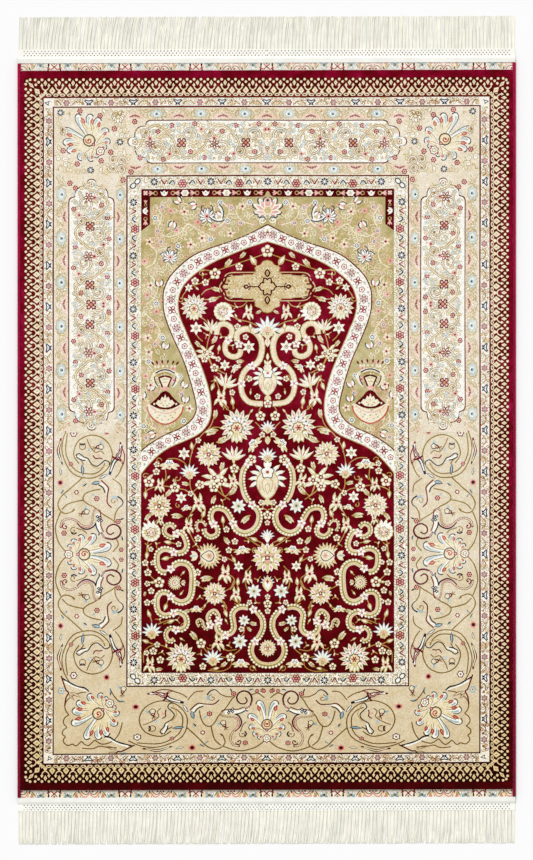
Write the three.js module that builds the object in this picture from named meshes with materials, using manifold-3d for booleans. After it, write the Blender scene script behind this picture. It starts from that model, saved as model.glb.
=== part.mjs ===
// A prayer rug that lies flat on the floor: one pile cloth with a flat-woven band at each end,
// an overcast binding along each side, and a woven fringe sewn over each end.
// Millimetres. X runs across the rug, +Y towards the head end of its niche, +Z up from the floor.
// The origin is on the floor, under the middle of the rug.

import * as THREE from "three";
import { mergeVertices } from "three/addons/utils/BufferGeometryUtils.js";
import Module from "manifold-3d";

const wasm = await Module();
wasm.setup();

// Driving dimensions
const rugWidth = 800; // over both bindings
const clothLength = 1178; // between the two fringes, as it shows
const rugLength = 1328; // over the fringes
const skewAcross = 2; // the right edge lies this much further up the floor than the left
const pieceGap = 0.3; // between two pieces that touch

// The cloth: its ground weave, and the pile that stands on it
const webThickness = 2.4;
const pileHeight = 7; // from the floor to the top of the pile
const pileRounding = 2.2; // where the pile lies over its own edge
const endBand = 12; // flat-woven band between the pile and the fringe
const tuckedWeb = 5; // ground weave hidden under the fringe's heading
const pileEndWaver = 0.7; // how far the pile's end wanders from a straight line
const pileEndSteps = 36; // the steps in which it wanders

// The overcast binding along each side
const bindingWidth = 5.4;
const bindingHeight = 6.4;
const bindingCrest = 2.3; // how far out from the cloth it is highest
const bindingFootRounding = 1.8; // at the floor, on its outer side
const bindingInnerRounding = 1.2; // at the top, beside the cloth

// The fringe: a woven heading, a knotted net, and the strands
const headingThickness = 1.6;
const headingAndNet = 22; // from the heading's inner edge to the strands' roots
const headingStepDown = 4; // the slope over which it comes down to the net
const fringeWidth = 798;
const strandCount = 150;
const strandThickness = 1.8;
const strandTipThickness = 1.3;
const strandRootWidth = 4.7;
const strandTipWidth = 3.6;
const strandTopShare = 0.7; // its top's width as a share of its foot's
const strandRootOverlap = 1.5; // how far a strand runs into the net
const strandSections = 3;

// How the strands lie: swept sideways in one smooth curve, each with a little lean of its own
const headSweep = 9; // at the head end, towards +X
const headSweepFade = 0.75; // the share of it that is gone by the right-hand side
const footSweep = -5; // at the middle of the foot end
const sweepCurve = 1.5; // above 1, a strand leaves the net straight and bends later
const ownLean = 0.55; // how far a tip strays from its neighbours
const tipScatter = 0.6; // how unevenly the tips are cut

const halfLength = rugLength / 2;
const halfCloth = clothLength / 2;
const clothWidth = rugWidth - 2 * (bindingWidth + pieceGap);
const colours = { pile: 0x8c1230, binding: 0xa50f3c, fringe: 0xebe8da };

// How far up the floor the weave's rows have drifted at a place across the rug
const drift = (x) => (skewAcross * x) / rugWidth;

// A repeatable number between -1 and 1 for a whole number and a seed
function uneven(index, seed) {
  const wave = Math.sin(index * 12.9898 + seed * 78.233) * 43758.5453;
  return 2 * (wave - Math.floor(wave)) - 1;
}

function toSolid(geometry) {
  const bare = geometry.clone();
  bare.deleteAttribute("normal");
  bare.deleteAttribute("uv");
  const merged = mergeVertices(bare, 1e-5);
  return new wasm.Manifold(
    new wasm.Mesh({
      numProp: 3,
      vertProperties: new Float32Array(merged.attributes.position.array),
      triVerts: new Uint32Array(merged.index.array),
    }),
  );
}

function toGeometry(solid) {
  const mesh = solid.getMesh();
  const geometry = new THREE.BufferGeometry();
  geometry.setAttribute("position", new THREE.BufferAttribute(mesh.vertProperties, 3));
  geometry.setIndex(new THREE.BufferAttribute(mesh.triVerts, 1));
  geometry.computeVertexNormals();
  return geometry;
}

function fabric(colour, roughness) {
  return new THREE.MeshStandardMaterial({ color: colour, roughness, metalness: 0 });
}

function piece(name, geometry, material) {
  const mesh = new THREE.Mesh(geometry, material);
  mesh.name = name;
  return mesh;
}

// The pile's outline: straight sides, and ends that wander a little as the last rows do
function pileOutline() {
  const halfWidth = clothWidth / 2;
  const pileEnd = halfCloth - endBand;
  const points = [];
  for (const end of [-1, 1]) {
    for (let i = 0; i <= pileEndSteps; i += 1) {
      const x = end * (halfWidth - (clothWidth * i) / pileEndSteps);
      const atCorner = i === 0 || i === pileEndSteps;
      const waver = atCorner ? 0 : pileEndWaver * uneven(i, 3 + end);
      points.push(new THREE.Vector2(x, end * (pileEnd + waver) + drift(x)));
    }
  }
  return new THREE.Shape(points);
}

// The cloth is one solid: the ground weave from end to end, with the pile on it
function cloth() {
  const halfWidth = clothWidth / 2;
  const webEnd = halfCloth + tuckedWeb;
  const corners = [[-1, -1], [1, -1], [1, 1], [-1, 1]];
  const webShape = new THREE.Shape(
    corners.map(([sx, sy]) => {
      const x = sx * halfWidth;
      return new THREE.Vector2(x, sy * webEnd + drift(x));
    }),
  );
  const web = new THREE.ExtrudeGeometry(webShape, { depth: webThickness, bevelEnabled: false });
  const pile = new THREE.ExtrudeGeometry(pileOutline(), {
    depth: pileHeight - pileRounding,
    bevelThickness: pileRounding,
    bevelSize: pileRounding,
    bevelOffset: -pileRounding,
    bevelSegments: 3,
  });
  const above = new THREE.BoxGeometry(2 * rugWidth, 2 * rugLength, pileHeight);
  above.translate(0, 0, pileHeight / 2 + webThickness / 2);
  const standing = toSolid(pile).intersect(toSolid(above));
  return toGeometry(toSolid(web).add(standing));
}

// One overcast edge: a rounded cord of stitches, flat where it meets the floor and the cloth
function binding(side) {
  const section = new THREE.Shape();
  section.moveTo(0, 0);
  section.lineTo(bindingWidth - bindingFootRounding, 0);
  section.quadraticCurveTo(bindingWidth, 0, bindingWidth, bindingFootRounding);
  section.quadraticCurveTo(bindingWidth, bindingHeight, bindingCrest, bindingHeight);
  section.quadraticCurveTo(0, bindingHeight, 0, bindingHeight - bindingInnerRounding);
  const length = clothLength - 2 * pieceGap;
  const geometry = new THREE.ExtrudeGeometry(section, {
    depth: length,
    bevelEnabled: false,
    curveSegments: 4,
  });
  geometry.rotateX(Math.PI / 2);
  geometry.translate(clothWidth / 2 + pieceGap, length / 2, 0);
  if (side < 0) {
    geometry.rotateZ(Math.PI);
  }
  geometry.translate(0, drift((side * rugWidth) / 2), 0);
  return geometry;
}

// How far the tips are swept sideways at a place across the fringe: not at all at its corners,
// and at the head end most of all near the left-hand one
function sweep(x, end) {
  const across = x / fringeWidth + 0.5;
  if (end < 0) {
    return footSweep * Math.sin(Math.PI * across);
  }
  return headSweep * (1 - headSweepFade * across) * Math.sin(Math.PI * Math.sqrt(across));
}

// A four-sided strand that lies on the floor, from its root in the net to its cut tip
function strand(index, end) {
  const pitch = fringeWidth / strandCount;
  const rootX = -fringeWidth / 2 + (index + 0.5) * pitch;
  const rootY = halfCloth + headingAndNet - strandRootOverlap + end * drift(end * rootX);
  const tipY = halfLength - (tipScatter * (1 + uneven(index, 5 + end))) / 2;
  const geometry = new THREE.BoxGeometry(1, 1, 1, 1, strandSections, 1);
  const place = geometry.attributes.position;
  const atCorner = index === 0 || index === strandCount - 1;
  const lean = atCorner ? 0 : ownLean * uneven(index, 11 + end);
  for (let i = 0; i < place.count; i += 1) {
    const along = place.getY(i) + 0.5;
    const top = place.getZ(i) > 0;
    const foot = THREE.MathUtils.lerp(strandRootWidth, strandTipWidth, along);
    const wide = top ? strandTopShare * foot : foot;
    const high = THREE.MathUtils.lerp(strandThickness, strandTipThickness, along);
    const aside = (end * sweep(end * rootX, end) + lean) * along ** sweepCurve;
    const x = rootX + place.getX(i) * wide + aside;
    place.setXYZ(i, x, THREE.MathUtils.lerp(rootY, tipY, along), top ? high : 0);
  }
  return geometry;
}

// The heading lies on the tucked end of the cloth, steps down to the floor and becomes the net
function heading() {
  const inner = halfCloth;
  const outer = halfCloth + headingAndNet;
  const clearOfWeb = halfCloth + tuckedWeb + 2 * pieceGap;
  const raised = webThickness + pieceGap;
  const section = new THREE.Shape([
    new THREE.Vector2(inner, raised),
    new THREE.Vector2(clearOfWeb, raised),
    new THREE.Vector2(clearOfWeb + headingStepDown / 4, 0),
    new THREE.Vector2(outer, 0),
    new THREE.Vector2(outer, strandThickness),
    new THREE.Vector2(clearOfWeb + headingThickness + headingStepDown, strandThickness),
    new THREE.Vector2(clearOfWeb + headingThickness, raised + headingThickness),
    new THREE.Vector2(inner, raised + headingThickness),
  ]);
  const geometry = new THREE.ExtrudeGeometry(section, { depth: fringeWidth, bevelEnabled: false });
  const turn = new THREE.Matrix4().makeBasis(
    new THREE.Vector3(0, 1, 0),
    new THREE.Vector3(0, 0, 1),
    new THREE.Vector3(1, 0, 0),
  );
  geometry.applyMatrix4(turn);
  geometry.translate(-fringeWidth / 2, 0, 0);
  const place = geometry.attributes.position;
  for (let i = 0; i < place.count; i += 1) {
    place.setY(i, place.getY(i) + drift(place.getX(i)));
  }
  return geometry;
}

// A fringe is one solid: the strands stand apart, and their roots are fused into the net
function fringe(end) {
  let whole = toSolid(heading());
  for (let i = 0; i < strandCount; i += 1) {
    whole = whole.add(toSolid(strand(i, end)));
  }
  const geometry = toGeometry(whole);
  if (end < 0) {
    geometry.rotateZ(Math.PI);
  }
  return geometry;
}

const rug = new THREE.Group();
rug.add(piece("pile_cloth", cloth(), fabric(colours.pile, 0.85)));
rug.add(piece("binding_left", binding(-1), fabric(colours.binding, 0.6)));
rug.add(piece("binding_right", binding(1), fabric(colours.binding, 0.6)));
rug.add(piece("fringe_head", fringe(1), fabric(colours.fringe, 0.8)));
rug.add(piece("fringe_foot", fringe(-1), fabric(colours.fringe, 0.8)));

export default rug;
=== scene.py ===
import math
import random

import bmesh
import bpy
import numpy as np
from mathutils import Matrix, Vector
from mathutils.geometry import delaunay_2d_cdt


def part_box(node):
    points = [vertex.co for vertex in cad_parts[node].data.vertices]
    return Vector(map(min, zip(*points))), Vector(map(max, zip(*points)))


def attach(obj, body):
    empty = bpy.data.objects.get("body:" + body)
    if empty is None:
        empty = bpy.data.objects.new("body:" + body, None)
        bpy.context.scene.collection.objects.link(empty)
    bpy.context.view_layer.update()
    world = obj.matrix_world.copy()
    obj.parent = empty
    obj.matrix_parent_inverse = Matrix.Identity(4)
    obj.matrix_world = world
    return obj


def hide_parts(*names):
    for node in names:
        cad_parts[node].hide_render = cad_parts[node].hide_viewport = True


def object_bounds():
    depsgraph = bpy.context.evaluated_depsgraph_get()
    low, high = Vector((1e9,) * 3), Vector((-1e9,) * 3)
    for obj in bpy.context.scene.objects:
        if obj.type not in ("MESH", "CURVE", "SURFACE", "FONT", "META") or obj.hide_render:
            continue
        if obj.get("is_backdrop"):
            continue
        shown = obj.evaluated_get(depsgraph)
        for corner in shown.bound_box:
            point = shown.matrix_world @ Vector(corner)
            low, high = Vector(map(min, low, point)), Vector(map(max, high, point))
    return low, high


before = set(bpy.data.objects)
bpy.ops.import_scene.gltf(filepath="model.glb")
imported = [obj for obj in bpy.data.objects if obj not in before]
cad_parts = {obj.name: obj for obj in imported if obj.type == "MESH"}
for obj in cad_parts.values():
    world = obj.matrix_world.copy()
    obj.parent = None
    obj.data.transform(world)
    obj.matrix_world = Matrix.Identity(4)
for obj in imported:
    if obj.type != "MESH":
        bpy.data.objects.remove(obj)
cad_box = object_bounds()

# The camera hangs straight above the middle of the rug, as in the photograph. A long lens keeps the
# rug's edges parallel, and the picture is 860 pixels tall, each of them 1.6045 mm of the rug.
MM = 0.001
PHOTO_HEIGHT = 860
PHOTO_SCALE = 1.6045 * MM
LENS = 300
camera_data = bpy.data.cameras.new("camera")
camera_data.sensor_width = 36
camera_data.lens = LENS
camera = bpy.data.objects.new("camera", camera_data)
bpy.context.scene.collection.objects.link(camera)
camera.location = (-0.3 * MM, 0, PHOTO_HEIGHT * PHOTO_SCALE * LENS / camera_data.sensor_width)
camera_data.clip_end = 100
bpy.context.scene.camera = camera
bpy.context.scene.view_settings.view_transform = "Standard"

# The floor is a plain white sweep, far wider than the rug. It is lit by a white surround and by one
# soft lamp high up beyond the head end, so that every edge of the rug keeps a faint shadow.
bpy.ops.mesh.primitive_plane_add(size=60)
floor = bpy.context.object
floor.name = "floor"
floor_paint = bpy.data.materials.new("floor_paint")
floor_paint.use_nodes = True
floor_shader = floor_paint.node_tree.nodes["Principled BSDF"]
floor_shader.inputs["Base Color"].default_value = (0.93, 0.93, 0.93, 1)
floor_shader.inputs["Roughness"].default_value = 0.9
floor_shader.inputs["Specular IOR Level"].default_value = 0.1
floor.data.materials.append(floor_paint)
floor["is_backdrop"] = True
surround = bpy.data.worlds.new("surround")
surround.use_nodes = True
surround.node_tree.nodes["Background"].inputs["Color"].default_value = (1, 1, 1, 1)
surround.node_tree.nodes["Background"].inputs["Strength"].default_value = 0.62
bpy.context.scene.world = surround
lamp_data = bpy.data.lights.new("lamp", "SUN")
lamp_data.energy = 1.75
lamp_data.angle = math.radians(24)
lamp = bpy.data.objects.new("lamp", lamp_data)
lamp.rotation_euler = (math.radians(-38), math.radians(-14), 0)
bpy.context.scene.collection.objects.link(lamp)


def dye(shade):
    """A yarn's shade, given as the six hex digits it shows in daylight, as linear red, green and blue."""
    parts = [int(shade[i:i + 2], 16) / 255 for i in (0, 2, 4)]
    return [p / 12.92 if p <= 0.04045 else ((p + 0.055) / 1.055) ** 2.4 for p in parts]


# The yarns of the whole rug, by the name that the pattern calls them by
YARNS = {"crimson": dye("7f0224"), "wine": dye("5c0408"), "brick": dye("6e2a1c"), "ruby": dye("8c1a2c"),
    "coral": dye("c86a54"), "pink": dye("edbcb0"), "white": dye("fdfbf2"), "cream": dye("f5ebd0"),
    "straw": dye("d9c391"), "gold": dye("c2b07a"), "ochre": dye("a37f3c"), "olive": dye("7a6630"),
    "brown": dye("573a22"), "navy": dye("2c3450"), "blue": dye("bccfd4")}


# The pile is knotted row by row after a weaver's drawing. The drawing is a pile of flat patches, each
# over the ones before it. Only the left half is drawn, and the right half is its mirror image.
PILE_SIDE = 394.3
PILE_END = 577
PILE_TOP = 7
DEPTH_SHOWN = 1.3
drawing = []


def area_of(points):
    return sum(a[0] * b[1] - b[0] * a[1] for a, b in zip(points, points[1:] + points[:1])) / 2


def lay(yarn, points):
    """Lays one patch of yarn on the drawing."""
    area = area_of(points)
    if abs(area) > 0.05:
        drawing.append((yarn, points if area > 0 else points[::-1]))


def pen(x, y, turn=0, size=1, flip=1):
    """A place on the drawing, as a function from a motif's own right and up to the rug's."""
    c, s = size * math.cos(math.radians(turn)), size * math.sin(math.radians(turn))
    return lambda u, v: (x + c * u - flip * s * v, y + s * u + flip * c * v)


rug = pen(0, 0)


def inside(at, u, v, turn=0, size=1):
    """A place on a motif."""
    inner = pen(u, v, turn, size)
    return lambda a, b: at(*inner(a, b))


def spun(at, turn, size=1):
    """The same place, turned."""
    return inside(at, 0, 0, turn, size)


def blob(at, yarn, radius, lobes=0, depth=0.16, long=1, steps=9, turn=0):
    """A disc, an oval, or a disc with a lobed edge."""
    steps = 4 * lobes if lobes else steps
    points = []
    for i in range(steps):
        a = math.tau * i / steps + math.radians(turn)
        r = radius * (1 + depth * math.cos(lobes * (a - math.radians(turn)))) if lobes else radius
        points.append(at(long * r * math.cos(a), r * math.sin(a)))
    lay(yarn, points)


def dot(at, u, v, *how, **more):
    """A blob at a place on a motif."""
    blob(inside(at, u, v), *how, **more)


def strip(yarn, sides):
    """A band of yarn between two edges, in as few patches as its bends and crossings allow."""
    run, way, turned = [sides[0]], 0, 0
    for (a, b), (c, d) in zip(sides, sides[1:]):
        corners = (a, b, d), (b, d, c), (d, c, a), (c, a, b)
        bends = [(q[0] - p[0]) * (r[1] - q[1]) - (q[1] - p[1]) * (r[0] - q[0]) for p, q, r in corners]
        here = (min(bends) > 1e-3) - (max(bends) < -1e-3)
        turned += abs(math.atan2((b[0] - a[0]) * (d[1] - c[1]) - (b[1] - a[1]) * (d[0] - c[0]),
            (b[0] - a[0]) * (d[0] - c[0]) + (b[1] - a[1]) * (d[1] - c[1])))
        if len(run) > 1 and (here != way or turned > 2.2):
            lay(yarn, [p for p, _ in run] + [q for _, q in run[::-1]])
            run, turned = [(a, b)], 0
        if here:
            run.append((c, d))
            way = here
        else:
            lay(yarn, [a, b, d])
            lay(yarn, [a, d, c])
            run, turned = [(c, d)], 0
    if len(run) > 1:
        lay(yarn, [p for p, _ in run] + [q for _, q in run[::-1]])


def leaf(at, yarn, length, width, bend=0, full=1, start=0, steps=5):
    """A pointed leaf that grows to the right and bends up by a share of its length."""
    sides = []
    for i in range(steps + 1):
        t = i / steps
        half = width / 2 * math.sin(math.pi * t ** full)
        slope = 2 * bend * t
        n = math.hypot(slope, 1)
        u, v = start + length * t, bend * length * t * t
        sides.append((at(u - half * slope / n, v + half / n), at(u + half * slope / n, v - half / n)))
    strip(yarn, sides)


def ray(at, turn, *how, **more):
    """A leaf that grows from the middle of a motif in a direction."""
    leaf(inside(at, 0, 0, turn), *how, **more)


def smooth(points, steps=4):
    """A smooth line through all the points."""
    ends = [points[0], *points, points[-1]]
    line = []
    for a, b, c, d in zip(ends, ends[1:], ends[2:], ends[3:]):
        for i in range(steps):
            t = i / steps
            line.append(tuple((2 * q + (r - p) * t + (2 * p - 5 * q + 4 * r - s) * t * t
                + (3 * q - p - 3 * r + s) * t ** 3) / 2 for p, q, r, s in zip(a, b, c, d)))
    return line + [points[-1]]


def stroke(at, yarn, line, width, tip=None):
    """A stripe of yarn along a line, as quadrilaterals so that it may cross itself."""
    sides = []
    for i, (u, v) in enumerate(line):
        (a, b), (c, d) = line[max(i - 1, 0)], line[min(i + 1, len(line) - 1)]
        n = math.hypot(c - a, d - b) or 1
        share = i / (len(line) - 1)
        half = (width + ((width if tip is None else tip) - width) * share) / 2
        sides.append((at(u - (d - b) / n * half, v + (c - a) / n * half),
            at(u + (d - b) / n * half, v - (c - a) / n * half)))
    strip(yarn, sides)


def thread(at, yarn, points, width, tip=None, steps=4):
    """A stripe of yarn along a smooth line through the points."""
    stroke(at, yarn, smooth(points, steps), width, tip)


def settled(x, y):
    """Where a drawn point comes to lie in the woven cloth: a little askew, as in the photograph."""
    across = min(1, max(0, (342 - abs(x)) / 116))
    along = min(1, max(0, (519 - abs(y)) / 109))
    free = min(1, max(0, (PILE_SIDE - abs(x)) / 40), max(0, (PILE_END - abs(y)) / 40))
    x_wander = 0.35 * math.sin(y / 61 + 1) * free
    y_wander = 0.45 * math.sin(x / 74 + y / 160) * free
    return x + 1.4 * across * along + x_wander, y + x / 400 - 1.4 * across * along + y_wander


def finish_piece(obj, slot, *nodes):
    """Hangs a piece on the rug's one body, and hides the model's parts that it stands for. Its slot, the
    finish it has, is not used.
    """
    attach(obj, "root")
    if nodes:
        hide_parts(*nodes)
    return obj


def weave(name, ground, outline, holes=(), top=PILE_TOP, material=None, slot="pile"):
    """Knots the drawing inside the outline, mirrors it, and turns its edges down. Empties the drawing."""
    patches = [(ground, outline), *drawing, *((None, hole) for hole in holes)]
    drawing.clear()
    places, faces = [], []
    for _, points in patches:
        faces.append(range(len(places), len(places) + len(points)))
        places.extend(Vector(p) for p in points)
    found, _, triangles, _, _, layers = delaunay_2d_cdt(places, [], faces, 1, 0.01, True)
    # A patch that has run out over its own edge is left out
    covered = [0] * len(patches)
    for (i, j, k), under in zip(triangles, layers):
        a, b, c = found[i], found[j], found[k]
        size = abs((b.x - a.x) * (c.y - a.y) - (b.y - a.y) * (c.x - a.x)) / 2
        for patch in under:
            covered[patch] += size
    spilt = {i for i, (_, points) in enumerate(patches) if covered[i] > 1.1 * abs(area_of(points)) + 1}
    names = list(YARNS)
    kept = []
    for triangle, under in zip(triangles, layers):
        under = set(under) - spilt
        yarn = patches[max(under)][0] if under and min(under) == 0 else None
        if yarn:
            kept.append((triangle, names.index(yarn)))
    # Neighbours of one yarn are joined, and then the half is mirrored
    mesh = bpy.data.meshes.new(name)
    mesh.from_pydata([(p.x, p.y, 0) for p in found], [], [t for t, _ in kept])
    mesh.polygons.foreach_set("material_index", [yarn for _, yarn in kept])
    bm = bmesh.new()
    bm.from_mesh(mesh)
    bmesh.ops.dissolve_limit(bm, angle_limit=0.01, verts=bm.verts, edges=bm.edges, delimit={"MATERIAL"})
    bmesh.ops.delete(bm, geom=[v for v in bm.verts if not v.link_faces], context="VERTS")
    twin = bmesh.ops.duplicate(bm, geom=bm.verts[:] + bm.edges[:] + bm.faces[:])["geom"]
    for v in (g for g in twin if isinstance(g, bmesh.types.BMVert)):
        v.co.x = -v.co.x
    bmesh.ops.reverse_faces(bm, faces=[g for g in twin if isinstance(g, bmesh.types.BMFace)])
    for v in bm.verts:
        x, y = settled(v.co.x, v.co.y)
        v.co = x * MM, y * MM, top * MM
    bmesh.ops.remove_doubles(bm, verts=bm.verts, dist=2e-6)
    rim = [e for e in bm.edges if e.is_boundary]
    turned = bmesh.ops.extrude_edge_only(bm, edges=rim)
    lowered = [g for g in turned["geom"] if isinstance(g, bmesh.types.BMVert)]
    bmesh.ops.translate(bm, verts=lowered, vec=(0, 0, -DEPTH_SHOWN * MM))
    map_flat(bm)
    shade = bm.loops.layers.float_color.new("yarn")
    for face in bm.faces:
        for loop in face.loops:
            loop[shade] = (*YARNS[names[face.material_index]], 1)
        face.material_index = 0
    bm.to_mesh(mesh)
    bm.free()
    obj = bpy.data.objects.new(name, mesh)
    bpy.context.scene.collection.objects.link(obj)
    mesh.materials.append(material or pile_wool)
    return finish_piece(obj, slot)


def map_flat(bm):
    """Gives a piece a map that looks at it from straight above."""
    flat = bm.loops.layers.uv.new("OFBake")
    xs = [v.co.x for v in bm.verts]
    ys = [v.co.y for v in bm.verts]
    low = Vector((min(xs), min(ys)))
    size = Vector((max(xs) - low.x, max(ys) - low.y))
    for face in bm.faces:
        for loop in face.loops:
            u, v = (loop.vert.co.x - low.x) / size.x, (loop.vert.co.y - low.y) / size.y
            loop[flat].uv = (u, v)


def half(side, end):
    """The left half of a rectangle round the middle of the rug."""
    return [(0, end), (-side, end), (-side, -end), (0, -end)]


def material_of(name, roughness, sheen):
    """A new yarn material, with its node tree, shader and the tool that joins nodes."""
    made = bpy.data.materials.new(name)
    made.use_nodes = True
    tree = made.node_tree
    shader = tree.nodes["Principled BSDF"]
    shader.inputs["Roughness"].default_value = roughness
    shader.inputs["Specular IOR Level"].default_value = 0.12
    shader.inputs["Sheen Weight"].default_value = sheen
    shader.inputs["Sheen Roughness"].default_value = 0.5
    return made, tree, shader


def node(tree, kind, links=None, **settings):
    """Adds a node, sets what is named, and joins the sockets listed in links."""
    made = tree.nodes.new(kind)
    for key, value in settings.items():
        setattr(made, key, value)
    for socket, source in (links or {}).items():
        if isinstance(source, (int, float, tuple)):
            made.inputs[socket].default_value = source
        else:
            tree.links.new(source, made.inputs[socket])
    return made


pile_wool, tree, shader = material_of("pile_wool", 0.9, 0.0)
shader.inputs["Specular IOR Level"].default_value = 0.06
spot = node(tree, "ShaderNodeTexCoord").outputs["Object"]
shade = node(tree, "ShaderNodeVertexColor", layer_name="yarn").outputs["Color"]
# Painted shade and sheen: the nap leans towards the foot end, so the colour is painted fullest above the
# middle and much darker at the foot, as light falls on it, with soft painted sheen patches where it has been
# stroked
along = node(tree, "ShaderNodeSeparateXYZ", {0: spot}).outputs["Y"]
painted_sheen_patches = node(tree, "ShaderNodeTexNoise", {"Vector": spot, "Scale": 48.0, "Detail": 4.0, "Roughness": 0.6})
depth = node(tree, "ShaderNodeMapRange", {0: painted_sheen_patches.outputs[0], 1: 0.25, 2: 0.75, 3: 0.6, 4: 1.4})
for start, end, shade_deeper in ((0.15, 0.6, 0.12), (0.08, -0.25, 0.26), (-0.28, -0.6, 0.75)):
    painted_shade_fall = node(tree, "ShaderNodeMapRange", {0: along, 1: start, 2: end, 3: 0.0, 4: shade_deeper})
    depth = node(tree, "ShaderNodeMath", {0: depth.outputs[0], 1: painted_shade_fall.outputs[0]}, operation="ADD")
nap_with_painted_shade = node(tree, "ShaderNodeGamma", {0: shade, 1: depth.outputs[0]})
# Each knot takes the dye a little differently
knots = node(tree, "ShaderNodeTexVoronoi", {"Vector": spot, "Scale": 900.0, "Randomness": 0.45})
fleck = node(tree, "ShaderNodeSeparateColor", {0: knots.outputs["Color"]})
uneven = node(tree, "ShaderNodeMapRange", {0: fleck.outputs[0], 1: 0.0, 2: 1.0, 3: 0.86, 4: 1.06})
grain = node(tree, "ShaderNodeTexNoise", {"Vector": spot, "Scale": 520.0, "Detail": 1.0})
speckle = node(tree, "ShaderNodeMapRange", {0: grain.outputs[0], 1: 0.3, 2: 0.7, 3: 0.86, 4: 1.1})
tufted = node(tree, "ShaderNodeMath", {0: uneven.outputs[0], 1: speckle.outputs[0]}, operation="MULTIPLY")
tinted = node(tree, "ShaderNodeVectorMath", {0: nap_with_painted_shade.outputs[0], 1: tufted.outputs[0]},
    operation="MULTIPLY")
tree.links.new(tinted.outputs[0], shader.inputs["Base Color"])
tufts = node(tree, "ShaderNodeBump", {"Height": knots.outputs["Distance"], "Strength": 0.35,
    "Distance": 0.0006}, invert=True)
tree.links.new(tufts.outputs[0], shader.inputs["Normal"])

# The cloth: a ground weave with the pile knotted on it, 7 mm in all. It is one sheet, and it carries
# the patterned pile that follows, which stands 1 mm above this plain core.
low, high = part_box("pile_cloth")
web_end = high.y
bm = bmesh.new()
section = ((-web_end, 0), (web_end, 0), (web_end, 2.3 * MM), ((PILE_END - 1) * MM, 2.3 * MM),
    ((PILE_END - 1) * MM, 6 * MM), ((1 - PILE_END) * MM, 6 * MM), ((1 - PILE_END) * MM, 2.3 * MM),
    (-web_end, 2.3 * MM))
side_face = bm.faces.new([bm.verts.new((-(PILE_SIDE - 0.3) * MM, y, z)) for y, z in section])
swept = bmesh.ops.extrude_face_region(bm, geom=[side_face])["geom"]
across = [g for g in swept if isinstance(g, bmesh.types.BMVert)]
bmesh.ops.translate(bm, verts=across, vec=(2 * (PILE_SIDE - 0.3) * MM, 0, 0))
bmesh.ops.recalc_face_normals(bm, faces=bm.faces)
for v in bm.verts:
    v.co.y += v.co.x * 0.0025
layer = bm.loops.layers.float_color.new("yarn")
for face in bm.faces:
    for loop in face.loops:
        loop[layer] = (*YARNS["crimson"], 1)
cloth_mesh = bpy.data.meshes.new("ground_cloth")
bm.to_mesh(cloth_mesh)
bm.free()
cloth_mesh.materials.append(pile_wool)
ground_cloth = bpy.data.objects.new("ground_cloth", cloth_mesh)
bpy.context.scene.collection.objects.link(ground_cloth)
finish_piece(ground_cloth, "pile", "pile_cloth")


# The plain crimson edge and the trellis border inside it: a lattice of cream lilies and diamonds on
# russet, with a row of pearls along its outer side and a chain of loops along its inner side.
TRELLIS_SIDE, TRELLIS_END = 388.8, 565.2
TRELLIS_INNER_SIDE, TRELLIS_INNER_END = 359.5, 536


def top_row(x, end):
    """A place on the head end's side of a border: right is right, up is towards the middle."""
    return lambda u, v: (x + u, end - v)


def bottom_row(x, end):
    return lambda u, v: (x + u, -end + v)


def left_row(y, side):
    return lambda u, v: (-side + v, y + u)


def lattice(at, pitch):
    """One repeat of the trellis, on the line through its lily."""
    for side in (-1, 1):
        dot(at, side * pitch / 4, 2.6, "lattice", 2.2, steps=8)
        arm = [(side * 0.3, 19.4), (side * 3.4, 17.8), (side * 5.3, 14.8), (side * 5.7, 12)]
        stroke(at, "lattice", smooth(arm, 2), 1.8)
        lay("lattice", [at(side * 5.7 + u, 11.2 + v) for u, v in ((0, -2.9), (2.5, 1.2), (0, 2.6),
            (-2.5, 1.2))])
        eye = [(1.2, 25.6), (2.6, 28), (5.6, 28.8), (9, 27.6), (7, 25.5), (4.2, 25.4), (2.4, 26.6)]
        stroke(at, "lattice", smooth([(side * u, v) for u, v in eye], 2), 1.6)
    dot(at, pitch / 2, 6.5, "lattice", 2.2, steps=8)
    lay("lattice", [at(0, 3.4), at(2.9, 7.8), at(0, 12.8), at(-2.9, 7.8)])
    lay("gold", [at(0, 6.6), at(0.8, 8.2), at(0, 9.8), at(-0.8, 8.2)])
    lay("lattice", [at(0, 17.8), at(3.5, 24), at(0, 25.8), at(-3.5, 24)])
    lay("lattice", [at(pitch / 2 + u, 20.4 + v) for u, v in ((0, -6.5), (5, 0), (0, 6.2), (-5, 0))])
    lay("gold", [at(pitch / 2 + u, 20.4 + v) for u, v in ((0, -2), (1.4, 0), (0, 2), (-1.4, 0))])


YARNS.update(lattice=dye("f3e4c4"), russet=dye("64100c"))
lay("russet", half(TRELLIS_SIDE, TRELLIS_END))
lattice_across, lattice_along = 22.17, 20.86
for i in range(17):
    lattice(top_row(-i * lattice_across, TRELLIS_END), lattice_across)
    lattice(bottom_row(-i * lattice_across, TRELLIS_END), lattice_across)
for i in range(-26, 26):
    lattice(left_row((i + 0.5) * lattice_along, TRELLIS_SIDE), lattice_along)
for end in (1, -1):
    corner = top_row(-TRELLIS_SIDE, TRELLIS_END) if end > 0 else bottom_row(-TRELLIS_SIDE, TRELLIS_END)
    lay("russet", [corner(u, v) for u, v in ((14, 26), (27.5, 26), (27.5, 14), (14, 14))])
    for reach, wide, tall in ((11.2, 2.7, 6.6), (21, 4.4, 6.4)):
        middle = inside(corner, reach, reach, 45)
        lay("lattice", [middle(-tall, 0), middle(0, -wide), middle(tall, 0), middle(0, wide)])
        lay("gold", [middle(-2, 0), middle(0, -1), middle(2, 0), middle(0, 1)])
    for u, v in ((4.6, 4.6), (9.6, 2.4), (17.6, 2.6), (23.2, 6.4), (18.8, 10.4)):
        dot(corner, u, v, "lattice", 2.2, steps=8)
        dot(corner, v, u, "lattice", 2.2, steps=8)
line_side, line_end = 358.3, 534.3
lay("brick", half(TRELLIS_INNER_SIDE, TRELLIS_INNER_END))
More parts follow.
